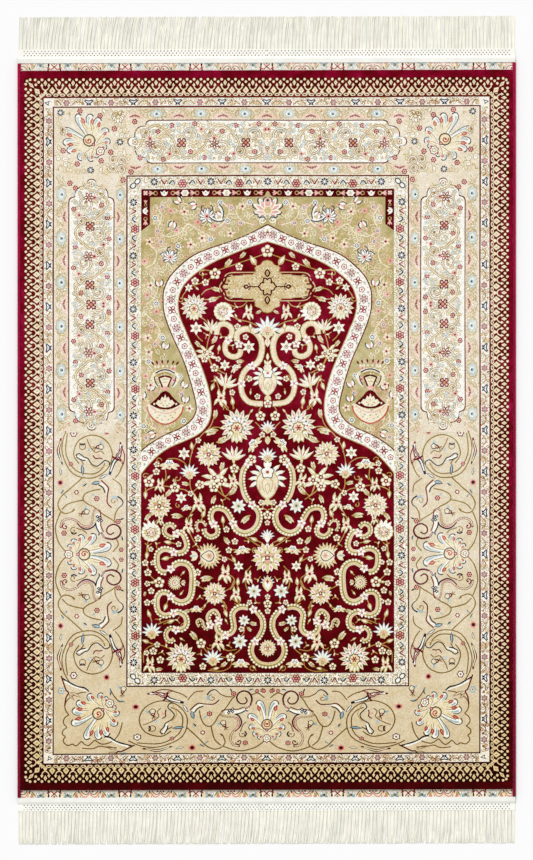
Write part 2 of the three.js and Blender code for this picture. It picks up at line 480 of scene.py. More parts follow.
weave("pile_trellis_border", "crimson", half(PILE_SIDE, PILE_END), [half(line_side - 1, line_end - 1)])

YARNS.update(border_sand=dye("f0e5d0"), blush=dye("f3d9c6"), line=dye("cdba92"), warm=dye("efdfc8"))


def scrolls(seed, low, high, pitch, free, lines, fills, width=1.15):
    """Close-set scrolls and leaves of thin lines that fill a ground, every one a little different."""
    chance = random.Random(seed)
    columns, rows = (max(1, round((b - a) / pitch)) for a, b in zip(low, high))
    for j in range(rows):
        for i in range(columns):
            x = low[0] + (i + 0.5 + 0.3 * (j % 2)) * (high[0] - low[0]) / columns + chance.uniform(-0.16,
                0.16) * pitch
            y = low[1] + (j + 0.5) * (high[1] - low[1]) / rows + chance.uniform(-0.16, 0.16) * pitch
            at = pen(x, y, chance.uniform(0, 360), 1, chance.choice((-1, 1)))
            yarn, fill, kind = chance.choice(lines), chance.choice(fills), chance.random()
            if not free(x, y):
                continue
            reach = pitch * 0.5
            if kind < 0.5:
                blob(at, fill, reach * 0.95, steps=8)
                stroke(at, yarn, [(-1.25 * reach, -0.75 * reach), (-0.3 * reach, -reach),
                    (0.7 * reach, -0.6 * reach), (0.85 * reach, 0.3 * reach), (0.1 * reach, 0.8 * reach),
                    (-0.6 * reach, 0.3 * reach), (-0.35 * reach, -0.35 * reach),
                    (0.2 * reach, -0.2 * reach)], width)
                leaf(inside(at, -reach, -0.4 * reach, 110), yarn, reach * 1.2, 2.2, 0.3, steps=3)
            elif kind < 0.8:
                leaf(at, yarn, 2.3 * reach, 1.3 * reach, 0.25, start=-reach, steps=5)
                leaf(at, fill, 1.8 * reach, 1.3 * reach - 2.1, 0.27, start=-0.72 * reach, steps=4)
                stroke(at, yarn, [(-reach, -0.9 * reach), (0, -0.75 * reach), (reach, -0.1 * reach)],
                    width * 0.8)
            else:
                for side in (-1, 1):
                    ray(at, side * 48, yarn, 1.15 * reach, 2.2, side * -0.3, steps=3)
                    ray(at, 180 + side * 50, fill, reach, 2.6, side * 0.3, steps=3)
                blob(at, "coral" if kind > 0.97 else "pink" if kind > 0.92 else yarn, 1.3, steps=6)


# The outer guard: a narrow cream band where navy lilies and ruby ring flowers take turns, with curled
# ochre leaves between them. A brick line closes it on the inner side.
GUARD_SIDE, GUARD_END = line_side - 1, line_end - 1
MAIN_SIDE, MAIN_END = 341.1, 517.8


def guard_lily(at):
    lay("navy", [at(*p) for p in ((-6.8, -2.6), (-4.6, -4.6), (0, -3.4), (4.6, -4.6), (6.8, -2.6),
        (2.6, 1.2), (3.6, 4.2), (0, 2.8), (-3.6, 4.2), (-2.6, 1.2))])
    lay("white", [at(*p) for p in ((-4.8, -2.9), (0, -1.9), (4.8, -2.9), (1.6, 0.1), (-1.6, 0.1))])
    dot(at, 0, -0.6, "blue", 1.2, steps=6)
    lay("white", [at(*p) for p in ((-0.9, 1.2), (0.9, 1.2), (0, 2.2))])


def quatrefoil(at, yarn, heart, radius):
    for turn in (45, 135, 225, 315):
        petal = spun(at, turn)
        dot(petal, 0.6 * radius, 0, yarn, 0.47 * radius, steps=7)
        dot(petal, 0.62 * radius, 0, heart, 0.2 * radius, steps=5)
    blob(at, "white", 0.22 * radius, steps=6)


guard_across, guard_along = 35.65, 33.15
rows = [(top_row(-i * guard_across, (GUARD_END + MAIN_END) / 2), i, guard_across) for i in range(10)]
rows += [(bottom_row(-i * guard_across, (GUARD_END + MAIN_END) / 2), i, guard_across) for i in range(10)]
rows += [(left_row(-0.5 + i * guard_along, (GUARD_SIDE + MAIN_SIDE) / 2), i, guard_along)
    for i in range(-15, 16)]
YARNS.update(guard_cream=dye("fbf5ea"))
for low, high in (((-GUARD_SIDE, MAIN_END + 3), (0, GUARD_END)),
        ((-GUARD_SIDE, -GUARD_END), (0, -MAIN_END - 3)), ((-GUARD_SIDE, -MAIN_END),
        (-MAIN_SIDE - 3, MAIN_END))):
    scrolls(2, low, high, 6.6, lambda x, y: True, ("gold", "line", "ochre", "gold"),
        ("guard_cream", "white", "blush"), 1.05)
for at, i, pitch in rows:
    reach = pitch / 2
    for side in (-1, 1):
        thread(at, "ochre", [(side * 8.5, 3.2), (side * 11.5, 0), (side * 15, -2.6),
            (side * (reach - 1), -1)], 1.3, steps=2)
    if i % 2:
        blob(at, "guard_cream", 6.4, steps=10)
        for turn in range(0, 360, 60):
            dot(spun(at, turn), 3.7, 0, "ruby", 1.9, steps=6)
            dot(spun(at, turn), 3.7, 0, "pink", 0.9, steps=5)
        blob(at, "ruby", 1.7, steps=6)
        blob(at, "white", 0.8, steps=5)
    else:
        blob(at, "guard_cream", 7.6, steps=10)
        guard_lily(spun(at, 0, 1.14))
for end in (1, -1):
    corner = [(-GUARD_SIDE, end * GUARD_END), (-MAIN_SIDE, end * GUARD_END), (-MAIN_SIDE, end * MAIN_END),
        (-GUARD_SIDE, end * MAIN_END)]
    lay("guard_cream", corner)
    at = pen(-GUARD_SIDE + 7.5, end * (GUARD_END - 7), 45 - 90 * end)
    lay("navy", [at(-5, -5), at(4, -3.4), at(0, 0.5), at(0.6, 5)])
    lay("white", [at(-3, -3.4), at(1.6, -2.5), at(-0.8, -0.2)])
lay("brick", half(MAIN_SIDE + 2.1, MAIN_END + 2.1))
weave("pile_outer_guard", "guard_cream", half(GUARD_SIDE, GUARD_END), [half(MAIN_SIDE, MAIN_END)])

# The main border, 115 mm wide, on warm sand. Its upper half: a feathered palmette in each corner, and
# a long white cartouche between every two of them, with a brick line round it.
INNER_SIDE, INNER_END = 226.8, 410.4
MIDDLE = -3


def curl(at, yarn, radius, turns=1.2, width=1.2, steps=9):
    """A spiral that runs inwards from the right and ends in a bud."""
    line = []
    for i in range(steps + 1):
        t = i / steps
        a = math.tau * turns * t
        r = radius * (1 - 0.78 * t)
        line.append((r * math.cos(a), r * math.sin(a)))
    stroke(at, yarn, line, width)
    blob(inside(at, *line[-1]), yarn, width * 0.95, steps=6)


def outlined(at, edge, fill, length, width, bend=0, start=0, rim=1.1):
    """A leaf with a contrasting outline."""
    leaf(at, edge, length, width, bend, start=start)
    leaf(at, fill, length - 2.4 * rim, width - 2 * rim, bend, start=start + 1.3 * rim)


def aster(at, yarn, radius, petals=8, heart="white"):
    blob(at, yarn, radius, petals, 0.2)
    for i in range(petals // 2):
        stroke(spun(at, 360 * (i + 0.5) / petals + 4), heart, [(-radius * 0.72, 0), (radius * 0.72, 0)], 0.8)
    blob(at, heart, radius * 0.26, steps=6)


def eye_flower(at, radius):
    blob(at, "blue", radius, 5, 0.22)
    blob(at, "white", radius * 0.62, steps=8)
    blob(at, "navy", radius * 0.3, steps=6)


def knot_flower(at, r, yarn="ruby", heart="pink"):
    """A tiny blossom: a ring of colour round a pale heart."""
    blob(at, yarn, r, 6, 0.13)
    blob(at, heart, r * 0.66, 6, 0.1, turn=30)
    blob(at, yarn, r * 0.3, steps=6)


def feather(at, reach, wide, side, fill="white", hook="navy"):
    """A plume that grows to the right. Its tip hooks over to one side, with a coral drop under the hook."""
    spine = smooth([(2, 0), (reach * 0.5, -side * 0.03 * reach), (reach * 0.82, 0),
        (reach * 0.96, side * wide * 0.4)])
    ray(at, side * 4, "cream", reach * 0.95, wide * 1.9)
    stroke(at, fill, spine, wide * 0.5, wide * 0.95)
    dot(at, reach * 0.93, side * wide * 0.2, fill, wide * 0.45, steps=9)
    stroke(inside(at, 0, -side * wide * 0.16), "pale_blue", spine[2:-1], wide * 0.2, wide * 0.42)
    stroke(inside(at, 0, -side * wide * 0.08), "blue", spine[6:-2], wide * 0.1, wide * 0.16)
    stroke(inside(at, 0, side * wide * 0.3), "ochre", spine[1:-4], 0.9)
    stroke(inside(at, 0, side * wide * 0.72), "gold", spine[4:-5], 0.9)
    leaf(inside(at, reach * 0.66, side * reach * 0.1, side * 5), "coral", reach * 0.24, wide * 0.62, full=0.7)
    leaf(inside(at, reach * 0.7, side * reach * 0.1, side * 5), "pink", reach * 0.12, wide * 0.22, full=0.7,
        steps=3)
    edge = smooth([(reach * 0.4, -side * wide * 0.36), (reach * 0.72, -side * wide * 0.5),
        (reach * 0.92, -side * wide * 0.4), (reach * 1.02, side * wide * 0.12), (reach, side * wide * 0.66),
        (reach * 0.92, side * wide * 0.92)], 3)
    stroke(at, hook, edge, 0.9, 1.8)


def node_flower(at, distance, radius):
    """The flower on the far side of a palmette, with a ruby rim."""
    dot(at, distance, 0, "ruby", radius, 7, 0.1)
    dot(at, distance, 0, "white", radius * 0.8, 7, 0.12)
    dot(at, distance, 0, "gold", radius * 0.5, 5, 0.2)
    dot(at, distance, 0, "white", radius * 0.3, steps=7)


def palmette(at, size, plumes, flower=15, eye=10):
    """A palmette that opens to the right: plumes in pairs, with an eye on its axis and a flower behind."""
    for angle, reach, wide in reversed(plumes):
        for side in (1, -1):
            feather(spun(at, side * angle, size), reach, wide, side)
    node_flower(spun(at, 180, size), flower, 7.2)
    whole = spun(at, 0, size)
    dot(whole, 9.6, 0, "navy", eye, steps=20)
    dot(whole, 9.6, 0, "straw", eye - 1.5, steps=18)
    dot(whole, 9.6, 0, "cream", eye - 2.6, steps=16)
    curl(inside(whole, 9.6, 0.4, 20), "coral", eye - 4.2, 1.05, 2.0, 8)
    blob(whole, "ruby", 3.1, steps=10)
    blob(whole, "pink", 1.8, steps=8)


# One lobed end of a cartouche: how far in from its tip, and how far out from its axis
END_LOBES = (((0, 0), (1.2, 4), (4.5, 6.6), (8, 6.9), (11, 7.4)),
    ((11.6, 9), (11.6, 14), (14, 19.6), (18.5, 23.6), (24, 25), (28.6, 25.4)),
    ((29.4, 27.6), (30.6, 31), (33.4, 33.6), (37.5, 34.6)))
END_PROFILE = [p for lobe in END_LOBES for p in smooth(lobe, 3)]
YARNS.update(pale_blue=dye("d6dfda"))


def band_motifs(at, first, count, deep):
    """The strip between a cartouche and the border's edge: pale flowers, and fans of ruby petals."""
    pitch = 70.6
    for k in range(first, first + count):
        here = inside(at, (k + 0.5) * pitch, 0)
        fan = inside(at, k * pitch, 0)
        lay("blush", [fan(-22, 1.6), fan(22, 1.6), fan(13, 8), fan(0, 11.5), fan(-13, 8)])
        for side in (-1, 1):
            for u, v, tilt, length, bend in ((15, 0.12, 50, 12, -0.3), (19, 0.62, 12, 11, 0.35),
                    (26, 0.3, 120, 10, 0.3), (30, 0.75, 200, 10, -0.3)):
                place = inside(here, side * u, deep * v, tilt if side > 0 else 180 - tilt)
                leaf(place, "line", length, 4.4, side * bend)
                leaf(place, "cream", length * 0.8, 2.4, side * bend, start=length * 0.08, steps=4)
            thread(here, "gold", [(side * 9, deep * 0.85), (side * 15, deep * 0.5),
                (side * 13, deep * 0.12)], 1.1, steps=3)
            thread(fan, "line", [(side * 16, deep * 0.2), (side * 9, deep * 0.72), (side * 1, deep * 0.94)],
                1.2, steps=3)
        dot(here, 0, deep * 0.52, "line", deep * 0.4, 7, 0.1, 1.5)
        dot(here, 0, deep * 0.52, "pale_blue", deep * 0.34, 7, 0.14, 1.5)
        dot(here, 0, deep * 0.5, "white", deep * 0.19, steps=9, long=1.4)
        dot(here, 0, deep * 0.5, "blue", deep * 0.14, steps=7, long=1.2)
        dot(here, 0, deep * 0.46, "navy", 1.5, steps=5, long=1.2)
        for d, tilt in ((-8.4, 45), (-5, 60), (-1.7, 80), (1.7, 100), (5, 120), (8.4, 135)):
            leaf(inside(fan, d, 4.2 - abs(d) * 0.12, tilt), "ruby", 5.4, 1.9, steps=3)


def quiet(x, y):
    """Whether the ground at a place in the upper border is free of large motifs."""
    corner = math.hypot(x + 288, y - 470) < 47
    side_box = -326 < x < -238 and -10 < y < 408
    top_box = x > -222 and 424 < y < 503
    band = y > 416 and x > -200 or x < -226.8 and y < 372
    return not (corner or side_box or top_box or band)


THIN, PALE = ("line", "line", "gold", "straw"), ("cream", "white", "warm", "border_sand")
scrolls(3, (-MAIN_SIDE + 3, INNER_END + 3), (-190, MAIN_END - 3), 9.2, quiet, THIN, PALE)
scrolls(4, (-MAIN_SIDE + 3, 366), (-INNER_SIDE - 2, INNER_END), 9.2, quiet, THIN, PALE)
for low, high in (((-200, INNER_END + 3), (0, 431)), ((-200, 497), (0, MAIN_END - 2)),
        ((-MAIN_SIDE + 3, -2), (-318, 368)), ((-247, -2), (-INNER_SIDE - 2, 368))):
    scrolls(5, low, high, 8.6, lambda x, y: True, THIN, PALE)

# The narrow strips outside and inside the cartouches
band_motifs(lambda u, v: (u, 498 + v), -3, 4, 19)
band_motifs(lambda u, v: (u, 428.6 - v), -3, 4, 18)
SIDE_MIDDLE = 202.5
band_motifs(lambda u, v: (-318.8 - v, SIDE_MIDDLE + u), -3, 6, 21)
band_motifs(lambda u, v: (-245.2 + v, SIDE_MIDDLE + u), -3, 6, 18)

# The top cartouche, then the side one: white, with double scrolls of gold and pale blue
top_tip, top_axis = -224.5, 463.3
rim = [(top_tip + d, top_axis + w) for d, w in END_PROFILE]
lay("brick", [(0, top_axis - 34.6), (0, top_axis + 34.6)] + rim[::-1]
    + [(x, 2 * top_axis - y) for x, y in rim[1:]])
rim = [(top_tip + 1.9 + d * 0.985, top_axis + w * 0.953) for d, w in END_PROFILE]
lay("white", [(0, top_axis - 33), (0, top_axis + 33)] + rim[::-1]
    + [(x, 2 * top_axis - y) for x, y in rim[1:]])
side_axis, side_tip, side_half = -281.9, 408, 205.5
for grow, yarn in ((0, "brick"), (1.8, "white")):
    squeeze = 1 - grow * 0.026
    rim = [(w * squeeze * 1.06, side_tip - side_half - grow - d * (1 - grow * 0.008)) for d, w in END_PROFILE]
    quarter = [(side_axis + w, SIDE_MIDDLE + l) for w, l in rim]
    left = [(2 * side_axis - x, y) for x, y in quarter[::-1]]
    upper = left + quarter[1:]
    lay(yarn, upper + [(x, 405 - y) for x, y in upper[::-1]])


def double_scroll(at, radius):
    """A ribbon with two gold edges and a pale middle, rolled up into a spiral."""
    line = []
    for i in range(17):
        a, r = math.tau * 1.35 * i / 16, radius * (1 - 0.74 * i / 16)
        line.append((r * math.cos(a), r * math.sin(a)))
    stroke(at, "ochre", line, 3.6, 2.6)
    stroke(at, "white", line, 1.7, 0.9)
    blob(inside(at, *line[-1]), "ochre", 1.9, steps=7)


def star_flower(at, radius):
    for i in range(6):
        petal = spun(at, 60 * i + 30)
        leaf(petal, "ruby", radius, radius * 0.62, start=radius * 0.12, steps=4)
        leaf(petal, "white", radius * 0.6, radius * 0.28, start=radius * 0.32, steps=3)
    blob(at, "gold", radius * 0.26, steps=6)


def cross_flower(at, radius):
    for i in range(4):
        petal = spun(at, 90 * i + 45)
        dot(petal, radius * 0.62, 0, "wine", radius * 0.42, 5, 0.15)
        dot(petal, radius * 0.6, 0, "pink", radius * 0.24, steps=6)
    blob(at, "coral", radius * 0.34, steps=7)
    blob(at, "gold", radius * 0.16, steps=5)


def cartouche_filling(at, half_length, cells):
    """Scrolls, ribbons and flowers along half a cartouche, from its middle to its lobed end."""
    step = half_length / (cells + 0.35)
    for i in range(cells):
        here = inside(at, (i + 0.55) * step, 0)
        up = 1 if i % 2 else -1
        for width, yarn in ((3.4, "ochre"), (1.7, "cream")):
            thread(here, yarn, [(-step * 0.55, up * -8), (-step * 0.3, up * -22), (0, up * -25),
                (step * 0.25, up * -13), (step * 0.4, up * 6), (step * 0.62, up * 14)], width)
        thread(here, "blue", [(-step * 0.25, up * 24), (0, up * 15), (step * 0.2, up * 14),
            (step * 0.36, up * 24)], 1.5, steps=3)
        double_scroll(inside(here, -step * 0.12, up * 11, 200 * up), 12.5)
        double_scroll(inside(here, step * 0.28, -up * 14, 60 * up), 9.5)
        for u, v in ((-0.48, -0.98), (0.22, 1.05), (0.52, -0.2)):
            eye_flower(inside(here, u * step, up * v * 26), 3)
        for u, v in ((-0.3, 1.08), (0.42, 0.98), (-0.15, -0.62)):
            knot_flower(inside(here, u * step, up * v * 26, 20), 4)
        for u, v in ((0.1, -0.2), (-0.5, 0.75)):
            dot(here, u * step, up * v * 26, "pink", 3.6, 5, 0.2)
            dot(here, u * step, up * v * 26, "ruby", 1.6, 4, 0.2)
        if i % 2:
            star_flower(inside(here, 0.1 * step, up * 4), 8)
        else:
            cross_flower(inside(here, 0.12 * step, -up * 2), 8.4)


FINE, LIGHT = ("line", "gold", "straw", "line"), ("cream", "white", "warm", "pale_blue")
scrolls(6, (-212, 434), (0, 493), 8.2, lambda x, y: x > -196 or abs(y - top_axis) < 20 and x > -208, FINE,
    LIGHT)
scrolls(7, (-312, 2), (-252, 403), 8.2, lambda x, y: abs(y - SIDE_MIDDLE) < 168 or abs(x - side_axis) < 20
    and abs(y - SIDE_MIDDLE) < 190, FINE, LIGHT)
cartouche_filling(pen(0, top_axis, 180), 224, 4)
palmette(pen(0, top_axis - 15, 90), 0.42, ((30, 36, 9), (75, 30, 8), (115, 24, 7)), 16, 8)
for turn in (90, -90):
    cartouche_filling(pen(side_axis, SIDE_MIDDLE, turn, 1, turn / 90), 205, 4)
cross_flower(pen(side_axis, SIDE_MIDDLE), 9)
for x, y in ((-212, 463), (-282, 396), (-282, 9)):
    blob(pen(x, y), "gold", 4.8, 5, 0.15)
    blob(pen(x, y), "white", 3.2, steps=8)
    blob(pen(x, y), "coral", 1.7, steps=6)

# The corner palmette, with small blossoms round it, a lotus and a knot of scrolls
CORNER_PLUMES = ((14.5, 53.5, 9), (36, 47.5, 9), (54, 42.5, 8.5), (84, 33, 8), (118, 26.5, 7), (143, 21, 5.5))
palmette(pen(-278.4, 459.2, 136), 1, CORNER_PLUMES)
for x, y in ((-299.4, 512.8), (-267.3, 504.8), (-244.8, 483.9), (-212, 495.2), (-251.1, 447.3),
        (-266.5, 433.4), (-304.5, 428.2), (-316.2, 397.3), (-219.2, 415.7), (-231.9, 402.9),
        (-326.7, 449.3)):
    knot_flower(pen(x, y, 10), 4.3)
for x, y in ((-330.7, 510.1), (-236, 463), (-283.4, 418.6)):
    aster(pen(x, y, 12), "navy", 5)


def lotus(at, size):
    """A lotus in outline, gold on white, that opens to the right."""
    for angle in (88, 58, 28, 0):
        for side in ((1, -1) if angle else (1,)):
            outlined(spun(at, side * angle, size), "ochre", "white", 14 - angle * 0.03, 7, side * -0.12)
    blob(inside(at, 2, 0, 0, size), "gold", 4, 5, 0.15)
    blob(inside(at, 2, 0, 0, size), "cream", 2.4, steps=7)
    for side in (1, -1):
        curl(inside(at, -3 * size, side * 4 * size, side * 100, size), "ochre", 5.5, 1.1, 1.2)


lotus(pen(-238.4, 505, -90), 1)
for turn in (0, 90, 180, 270):
    double_scroll(inside(pen(-240.8, 428, turn), 7.5, 5), 7.5)
lotus(pen(-327, 481, -20), 0.7)
lotus(pen(-292, 441, 200), 0.55)
lay("brick", half(INNER_SIDE, INNER_END))
weave("pile_main_border_upper", "border_sand", [(0, MAIN_END), (-MAIN_SIDE, MAIN_END), (-MAIN_SIDE, MIDDLE),
    (0, MIDDLE)], [[(0, INNER_END - 2.1), (-INNER_SIDE + 2.1, INNER_END - 2.1),
    (-INNER_SIDE + 2.1, MIDDLE - 2), (0, MIDDLE - 2)]])

# The lower half of the main border: a palmette in the middle of each side and of the foot end, and from
# it a vine runs both ways, crosses itself and winds up into a large spiral. The corners hold a palmette
# in a scalloped gold outline.
SIDE_PLUMES = ((13, 53, 10), (46, 41, 9), (75, 31, 8), (103, 25, 7), (130, 21, 5.5))


# The lower half's ground is the sand of the upper half painted darker: a painted shade towards the foot
YARNS.update(vine=dye("9f853f"), border_low=dye("ebdfc6"))


def polar(turns, middle):
    """A smooth line through places given by their heading and their distance from a middle."""
    return smooth([(middle[0] + r * math.cos(math.radians(a)), middle[1] + r * math.sin(math.radians(a)))
        for a, r in turns])


def two_tone(at, first, second, points, width, fill="white"):
    """A long leaf in two colours, with a pale middle."""
    line = smooth(points)
    cut = int(len(line) * 0.55)
    stroke(at, first, line[:cut + 1], width * 0.5, width)
    stroke(at, second, line[cut:], width, width * 0.3)
    stroke(at, fill, line[2:-2], width * 0.3, width * 0.34)


def scalloped(at, edge, fill, points, width, start=1.0):
    """A ribbon with a scalloped outer edge, that narrows to its end."""
    line = smooth(points, 6)
    for i in range(0, len(line), 2):
        share = i / (len(line) - 1)
        blob(inside(at, *line[i]), edge, width * 0.5 * (start - 0.35 * share), steps=7)
    stroke(at, edge, line, width * 0.8, width * 0.5)
    stroke(at, fill, line, width * 0.42, width * 0.2)


def pinched_flower(at):
    """A small flower in navy and pink, with a blue leaf on each side."""
    leaf(inside(at, 2, 3, 60), "blue", 8, 4)
    dot(at, 3.4, 0, "navy", 4.8, 5, 0.1)
    dot(at, 3.8, 0, "cream", 3.4, 5, 0.1)
    dot(at, -2.2, 0, "wine", 2.9, 4, 0.2)
    dot(at, -1.4, 0, "pink", 1.7, steps=6)
    dot(at, -5.2, -1, "navy", 1.4, steps=6)
    for turn in (150, 190, 235):
        leaf(inside(at, -5, 0, turn), "ochre", 6.5, 1.6, 0.2)


def side_scroll(at):
    """Half of the vine. Its palmette opens to the right, and its spiral is wound up above."""
    middle = (-0.8, 160.5)
    # The spiral, as a ribbon of the ground between two gold lines
    for turns in (((128, 58), (150, 53), (180, 47.5), (225, 44), (270, 38), (315, 33), (360, 31.5),
            (405, 31), (450, 31), (495, 31), (540, 30), (575, 26)),
            ((140, 52), (180, 42), (225, 37), (270, 31.5), (300, 28), (325, 24))):
        stroke(at, "vine", polar(turns, middle), 1.9)
    thread(at, "vine", [(-16.8, 122.9), (-23.8, 115.9), (-37.7, 103.4), (-48.8, 93.7), (-55.1, 81.1),
        (-51.6, 70), (-43.3, 65.1), (-32.1, 68.6)], 1.9)
    leaf(inside(at, -34, 66.8, 48), "vine", 9, 3.2)
    thread(at, "vine", [(-48.8, 71.4), (-40.5, 79.7), (-29.4, 83.9), (-15.4, 86.7)], 1.9)
    thread(at, "vine", [(12.4, 104.8), (-1.5, 102), (-12.6, 96.4), (-15.4, 88.1), (-8.5, 81.1), (2.6, 75.6),
        (16.6, 64.4), (30.5, 56.1), (36, 51)], 1.9)
    thread(at, "vine", [(-50.9, 67.5), (-57.9, 49.1), (-58.6, 35.2), (-53, 17.1), (-43.3, 4.6)], 1.9)
    thread(at, "vine", [(37.4, 25.5), (40.5, 15.7), (31.9, 4.6)], 1.9)
    thread(at, "ochre", [(-14.7, 144), (-19, 151), (-26.6, 159)], 1.9)
    thread(at, "ochre", [(18, 161), (12, 166), (3, 164), (-6, 176), (-10, 186)], 1.6)
    # A navy sheath where the spiral leaves its stem, and a split leaf inside the spiral
    outlined(inside(at, -15.8, 126, 92), "navy", "blue", 19, 5.4, 0.05, rim=1.4)
    thread(at, "navy", [(-27.4, 158), (-22, 161.5), (-14, 156), (-8, 153.8), (-2, 145), (6, 141.5),
        (13, 146), (19, 151), (25.5, 148.5), (26, 143.5)], 1.7)
    thread(at, "white", [(-25, 157), (-18, 154.4), (-9, 151.3)], 3.6, 2)
    thread(at, "navy", [(-26.5, 156), (-19, 151.6), (-12, 150.4)], 1.8)
    thread(at, "straw", [(-5, 145), (6, 138), (16, 141), (24, 144)], 2.0, 1.2)
    dot(at, -16.8, 172.8, "ochre", 5.6, steps=12)
    dot(at, -16.8, 172.8, "border_low", 4.2, steps=12)
    stroke(inside(at, -16.8, 176.6), "navy", [(-4.5, 1.5), (-2, -1), (2, -1), (4.5, 1.5)], 2.0)
    pinched_flower(inside(at, 9, 172.3, 8))
    eye_flower(inside(at, -5, 167.4), 2.8)
    thread(inside(at, 7, 156), "ruby", [(-7, 3), (-3, -2), (3, -1.4), (8, -2.6)], 1.8)
    leaf(inside(at, 7, 156, 60), "pink", 6, 3)
    # Leaves along the spiral's outer side, ruby at one end and navy at the other
    two_tone(at, "ruby", "navy", [(-50.9, 186), (-52.5, 176), (-55.1, 166), (-52, 154), (-48.2, 143.6)],
        5.2, "cream")
    two_tone(at, "navy", "ruby", [(26.3, 128), (30, 140), (34, 150), (41, 158), (44, 172), (43, 181)], 7.5)
    two_tone(at, "navy", "wine", [(46.5, 175), (43, 166), (38, 158), (45.5, 150), (46.5, 146)], 4.6, "pink")
    thread(at, "ruby", [(30.5, 158), (36.5, 153.5), (44.5, 151.5)], 2.7)
    thread(at, "ruby", [(45.5, 172), (50, 160), (48.5, 147), (44, 138)], 1.7)
    thread(at, "ochre", [(47.5, 146), (42, 132), (35, 123)], 1.8)
    outlined(inside(at, -50.5, 126, 92), "navy", "white", 13, 3.8, 0.12, rim=1.0)
    # The bent leaf between the spiral and the crossing, white with a navy and a ruby edge
    outlined(inside(at, -2.5, 112.5, 24), "navy", "blue", 16, 6.5, -0.25, rim=1.3)
    outlined(inside(at, 9.5, 120.5, 38), "navy", "white", 17, 4.6, -0.1, rim=1.2)
    thread(at, "white", [(11, 115), (19, 109), (22.5, 100), (22, 90)], 3.4, 1.5)
    thread(at, "ruby", [(13, 119), (24.5, 107.6), (23.6, 99), (22.8, 90), (23.5, 82), (30, 75.5)], 2)
    thread(at, "navy", [(9, 112), (16, 107), (19.5, 99)], 1.9)
    thread(at, "ochre", [(31, 122), (44, 112), (46, 99)], 1.7)
    # Small blossoms, each on its own little stem
    knot_flower(inside(at, -25.9, 99.2), 3.6)
    dot(at, -25.9, 99.2, "white", 1.6, steps=6)
    knot_flower(inside(at, 6.2, 89.5), 4.2)
    leaf(inside(at, 3.5, 92.5, 130), "blue", 8, 2.6)
    for u, v in ((-51.6, 114.5), (21.4, 196.6)):
        knot_flower(inside(at, u, v), 5.2, "pink", "coral")
        dot(at, u, v, "navy", 2.4, 5, 0.2)
    knot_flower(inside(at, -34.9, 144.4), 3.4)
    dot(at, -30.8, 193.8, "ruby", 5.6, 6, 0.14)
    dot(at, -30.8, 193.8, "white", 4.0, 6, 0.14)
    dot(at, -30.8, 193.8, "ochre", 1.8, steps=6)
    knot_flower(inside(at, -45.4, 33.8), 4.2)
    knot_flower(inside(at, 40.2, 53.3), 4.2)
    leaf(inside(at, 42.5, 55.5, 25), "navy", 8, 2.4)
    knot_flower(inside(at, 45.1, 8), 3.6)
    for u, v, turn in ((-41, 90, 115), (-16, 109, 20), (47, 22, 80), (-45.5, 103, 215)):
        leaf(inside(at, u, v, turn), "navy", 8, 2.2, 0.35)
        leaf(inside(at, u - 1, v + 1.5, turn + 10), "blue", 6.5, 1.8, 0.3)
    curl(inside(at, 33.5, 85.5, 10), "ochre", 6.5, 1.0, 1.3)
    leaf(inside(at, 28.5, 91.5, 12), "blue", 11, 5, -0.2)
    thread(at, "navy", [(39, 93.5), (45, 89.5), (47.9, 83.9), (46, 79), (41, 75)], 2.4, 1.2)
    thread(at, "ochre", [(41.5, 75.6), (36, 65.8), (34.7, 54.7)], 1.8)
    pinched_flower(inside(at, -13, 67.2, 20))
    # The scalloped cloud band on each side of the palmette, ruby outside and navy inside
    band = [(-38.5, 40.5), (-41, 46), (-47.5, 47.5), (-50.5, 44), (-48, 52.5), (-38, 57), (-27, 54),
        (-17, 46.5), (-7, 44.8), (-1, 51), (0.2, 62), (3.4, 72), (9.5, 71)]
    scalloped(at, "ruby", "cream", band[3:], 4.0, 1.1)
    thread(at, "navy", [(-25, 50.5), (-17.5, 42.8), (-8.5, 40.2), (1.3, 44.6), (4.4, 49.1)], 2.2)
    thread(at, "pink", [(-25, 52.5), (-17, 44.4), (-7, 42.4), (0.6, 47.6)], 1.6)
    curl(inside(at, -43.4, 44, 100), "ruby", 5.6, 0.9, 1.7)
    thread(at, "white", [(8, 66), (9.5, 55), (9, 44), (13.5, 33), (22, 27)], 6.5, 3.4)
    thread(at, "navy", [(4.2, 51), (6.5, 42), (10.4, 34.5), (9.2, 30.5)], 2)
    thread(at, "ruby", [(11.4, 71), (13.2, 58), (12.6, 48), (17, 36)], 1.7)
    for u, v in ((7.6, 60.5), (11.4, 59), (9.2, 54.6), (13.6, 54.4)):
        dot(at, u, v, "navy", 2.5, 4, 0.2)
        dot(at, u, v, "white", 1.1, steps=5)
    ring = [(13.8, 34), (20, 27), (31.5, 24.8), (41.2, 29.4), (44.6, 38), (40.2, 46), (31.9, 48.4),
        (24, 44), (22.4, 36.5), (27.6, 32.2), (33, 35)]
    scalloped(at, "navy", "pink", ring, 3.8)
    stroke(at, "ruby", smooth(ring[1:]), 1.6)
    curl(inside(at, -30.8, 38, 60), "ochre", 6, 0.9, 1.4)
    thread(inside(at, -30, 33.4), "navy", [(-4.5, 1.5), (0, -1), (4.5, 1.5)], 2.2, steps=3)
    thread(at, "ochre", [(-26, 42), (-20, 40), (-14, 38), (-9, 33)], 1.7)


side_scroll(pen(-279.4, -198.5))
side_scroll(pen(-279.4, -198.5, flip=-1))
palmette(pen(-302.6, -198.5), 1, SIDE_PLUMES)
side_scroll(lambda u, v: (-v * (1 + 0.00037 * v), -458 + 0.94 * u - 0.025 * v))
palmette(pen(0, -480.4, 90), 0.92, SIDE_PLUMES)
for x in (-14, -5):
    knot_flower(pen(x * 1.2, -417), 3.4)

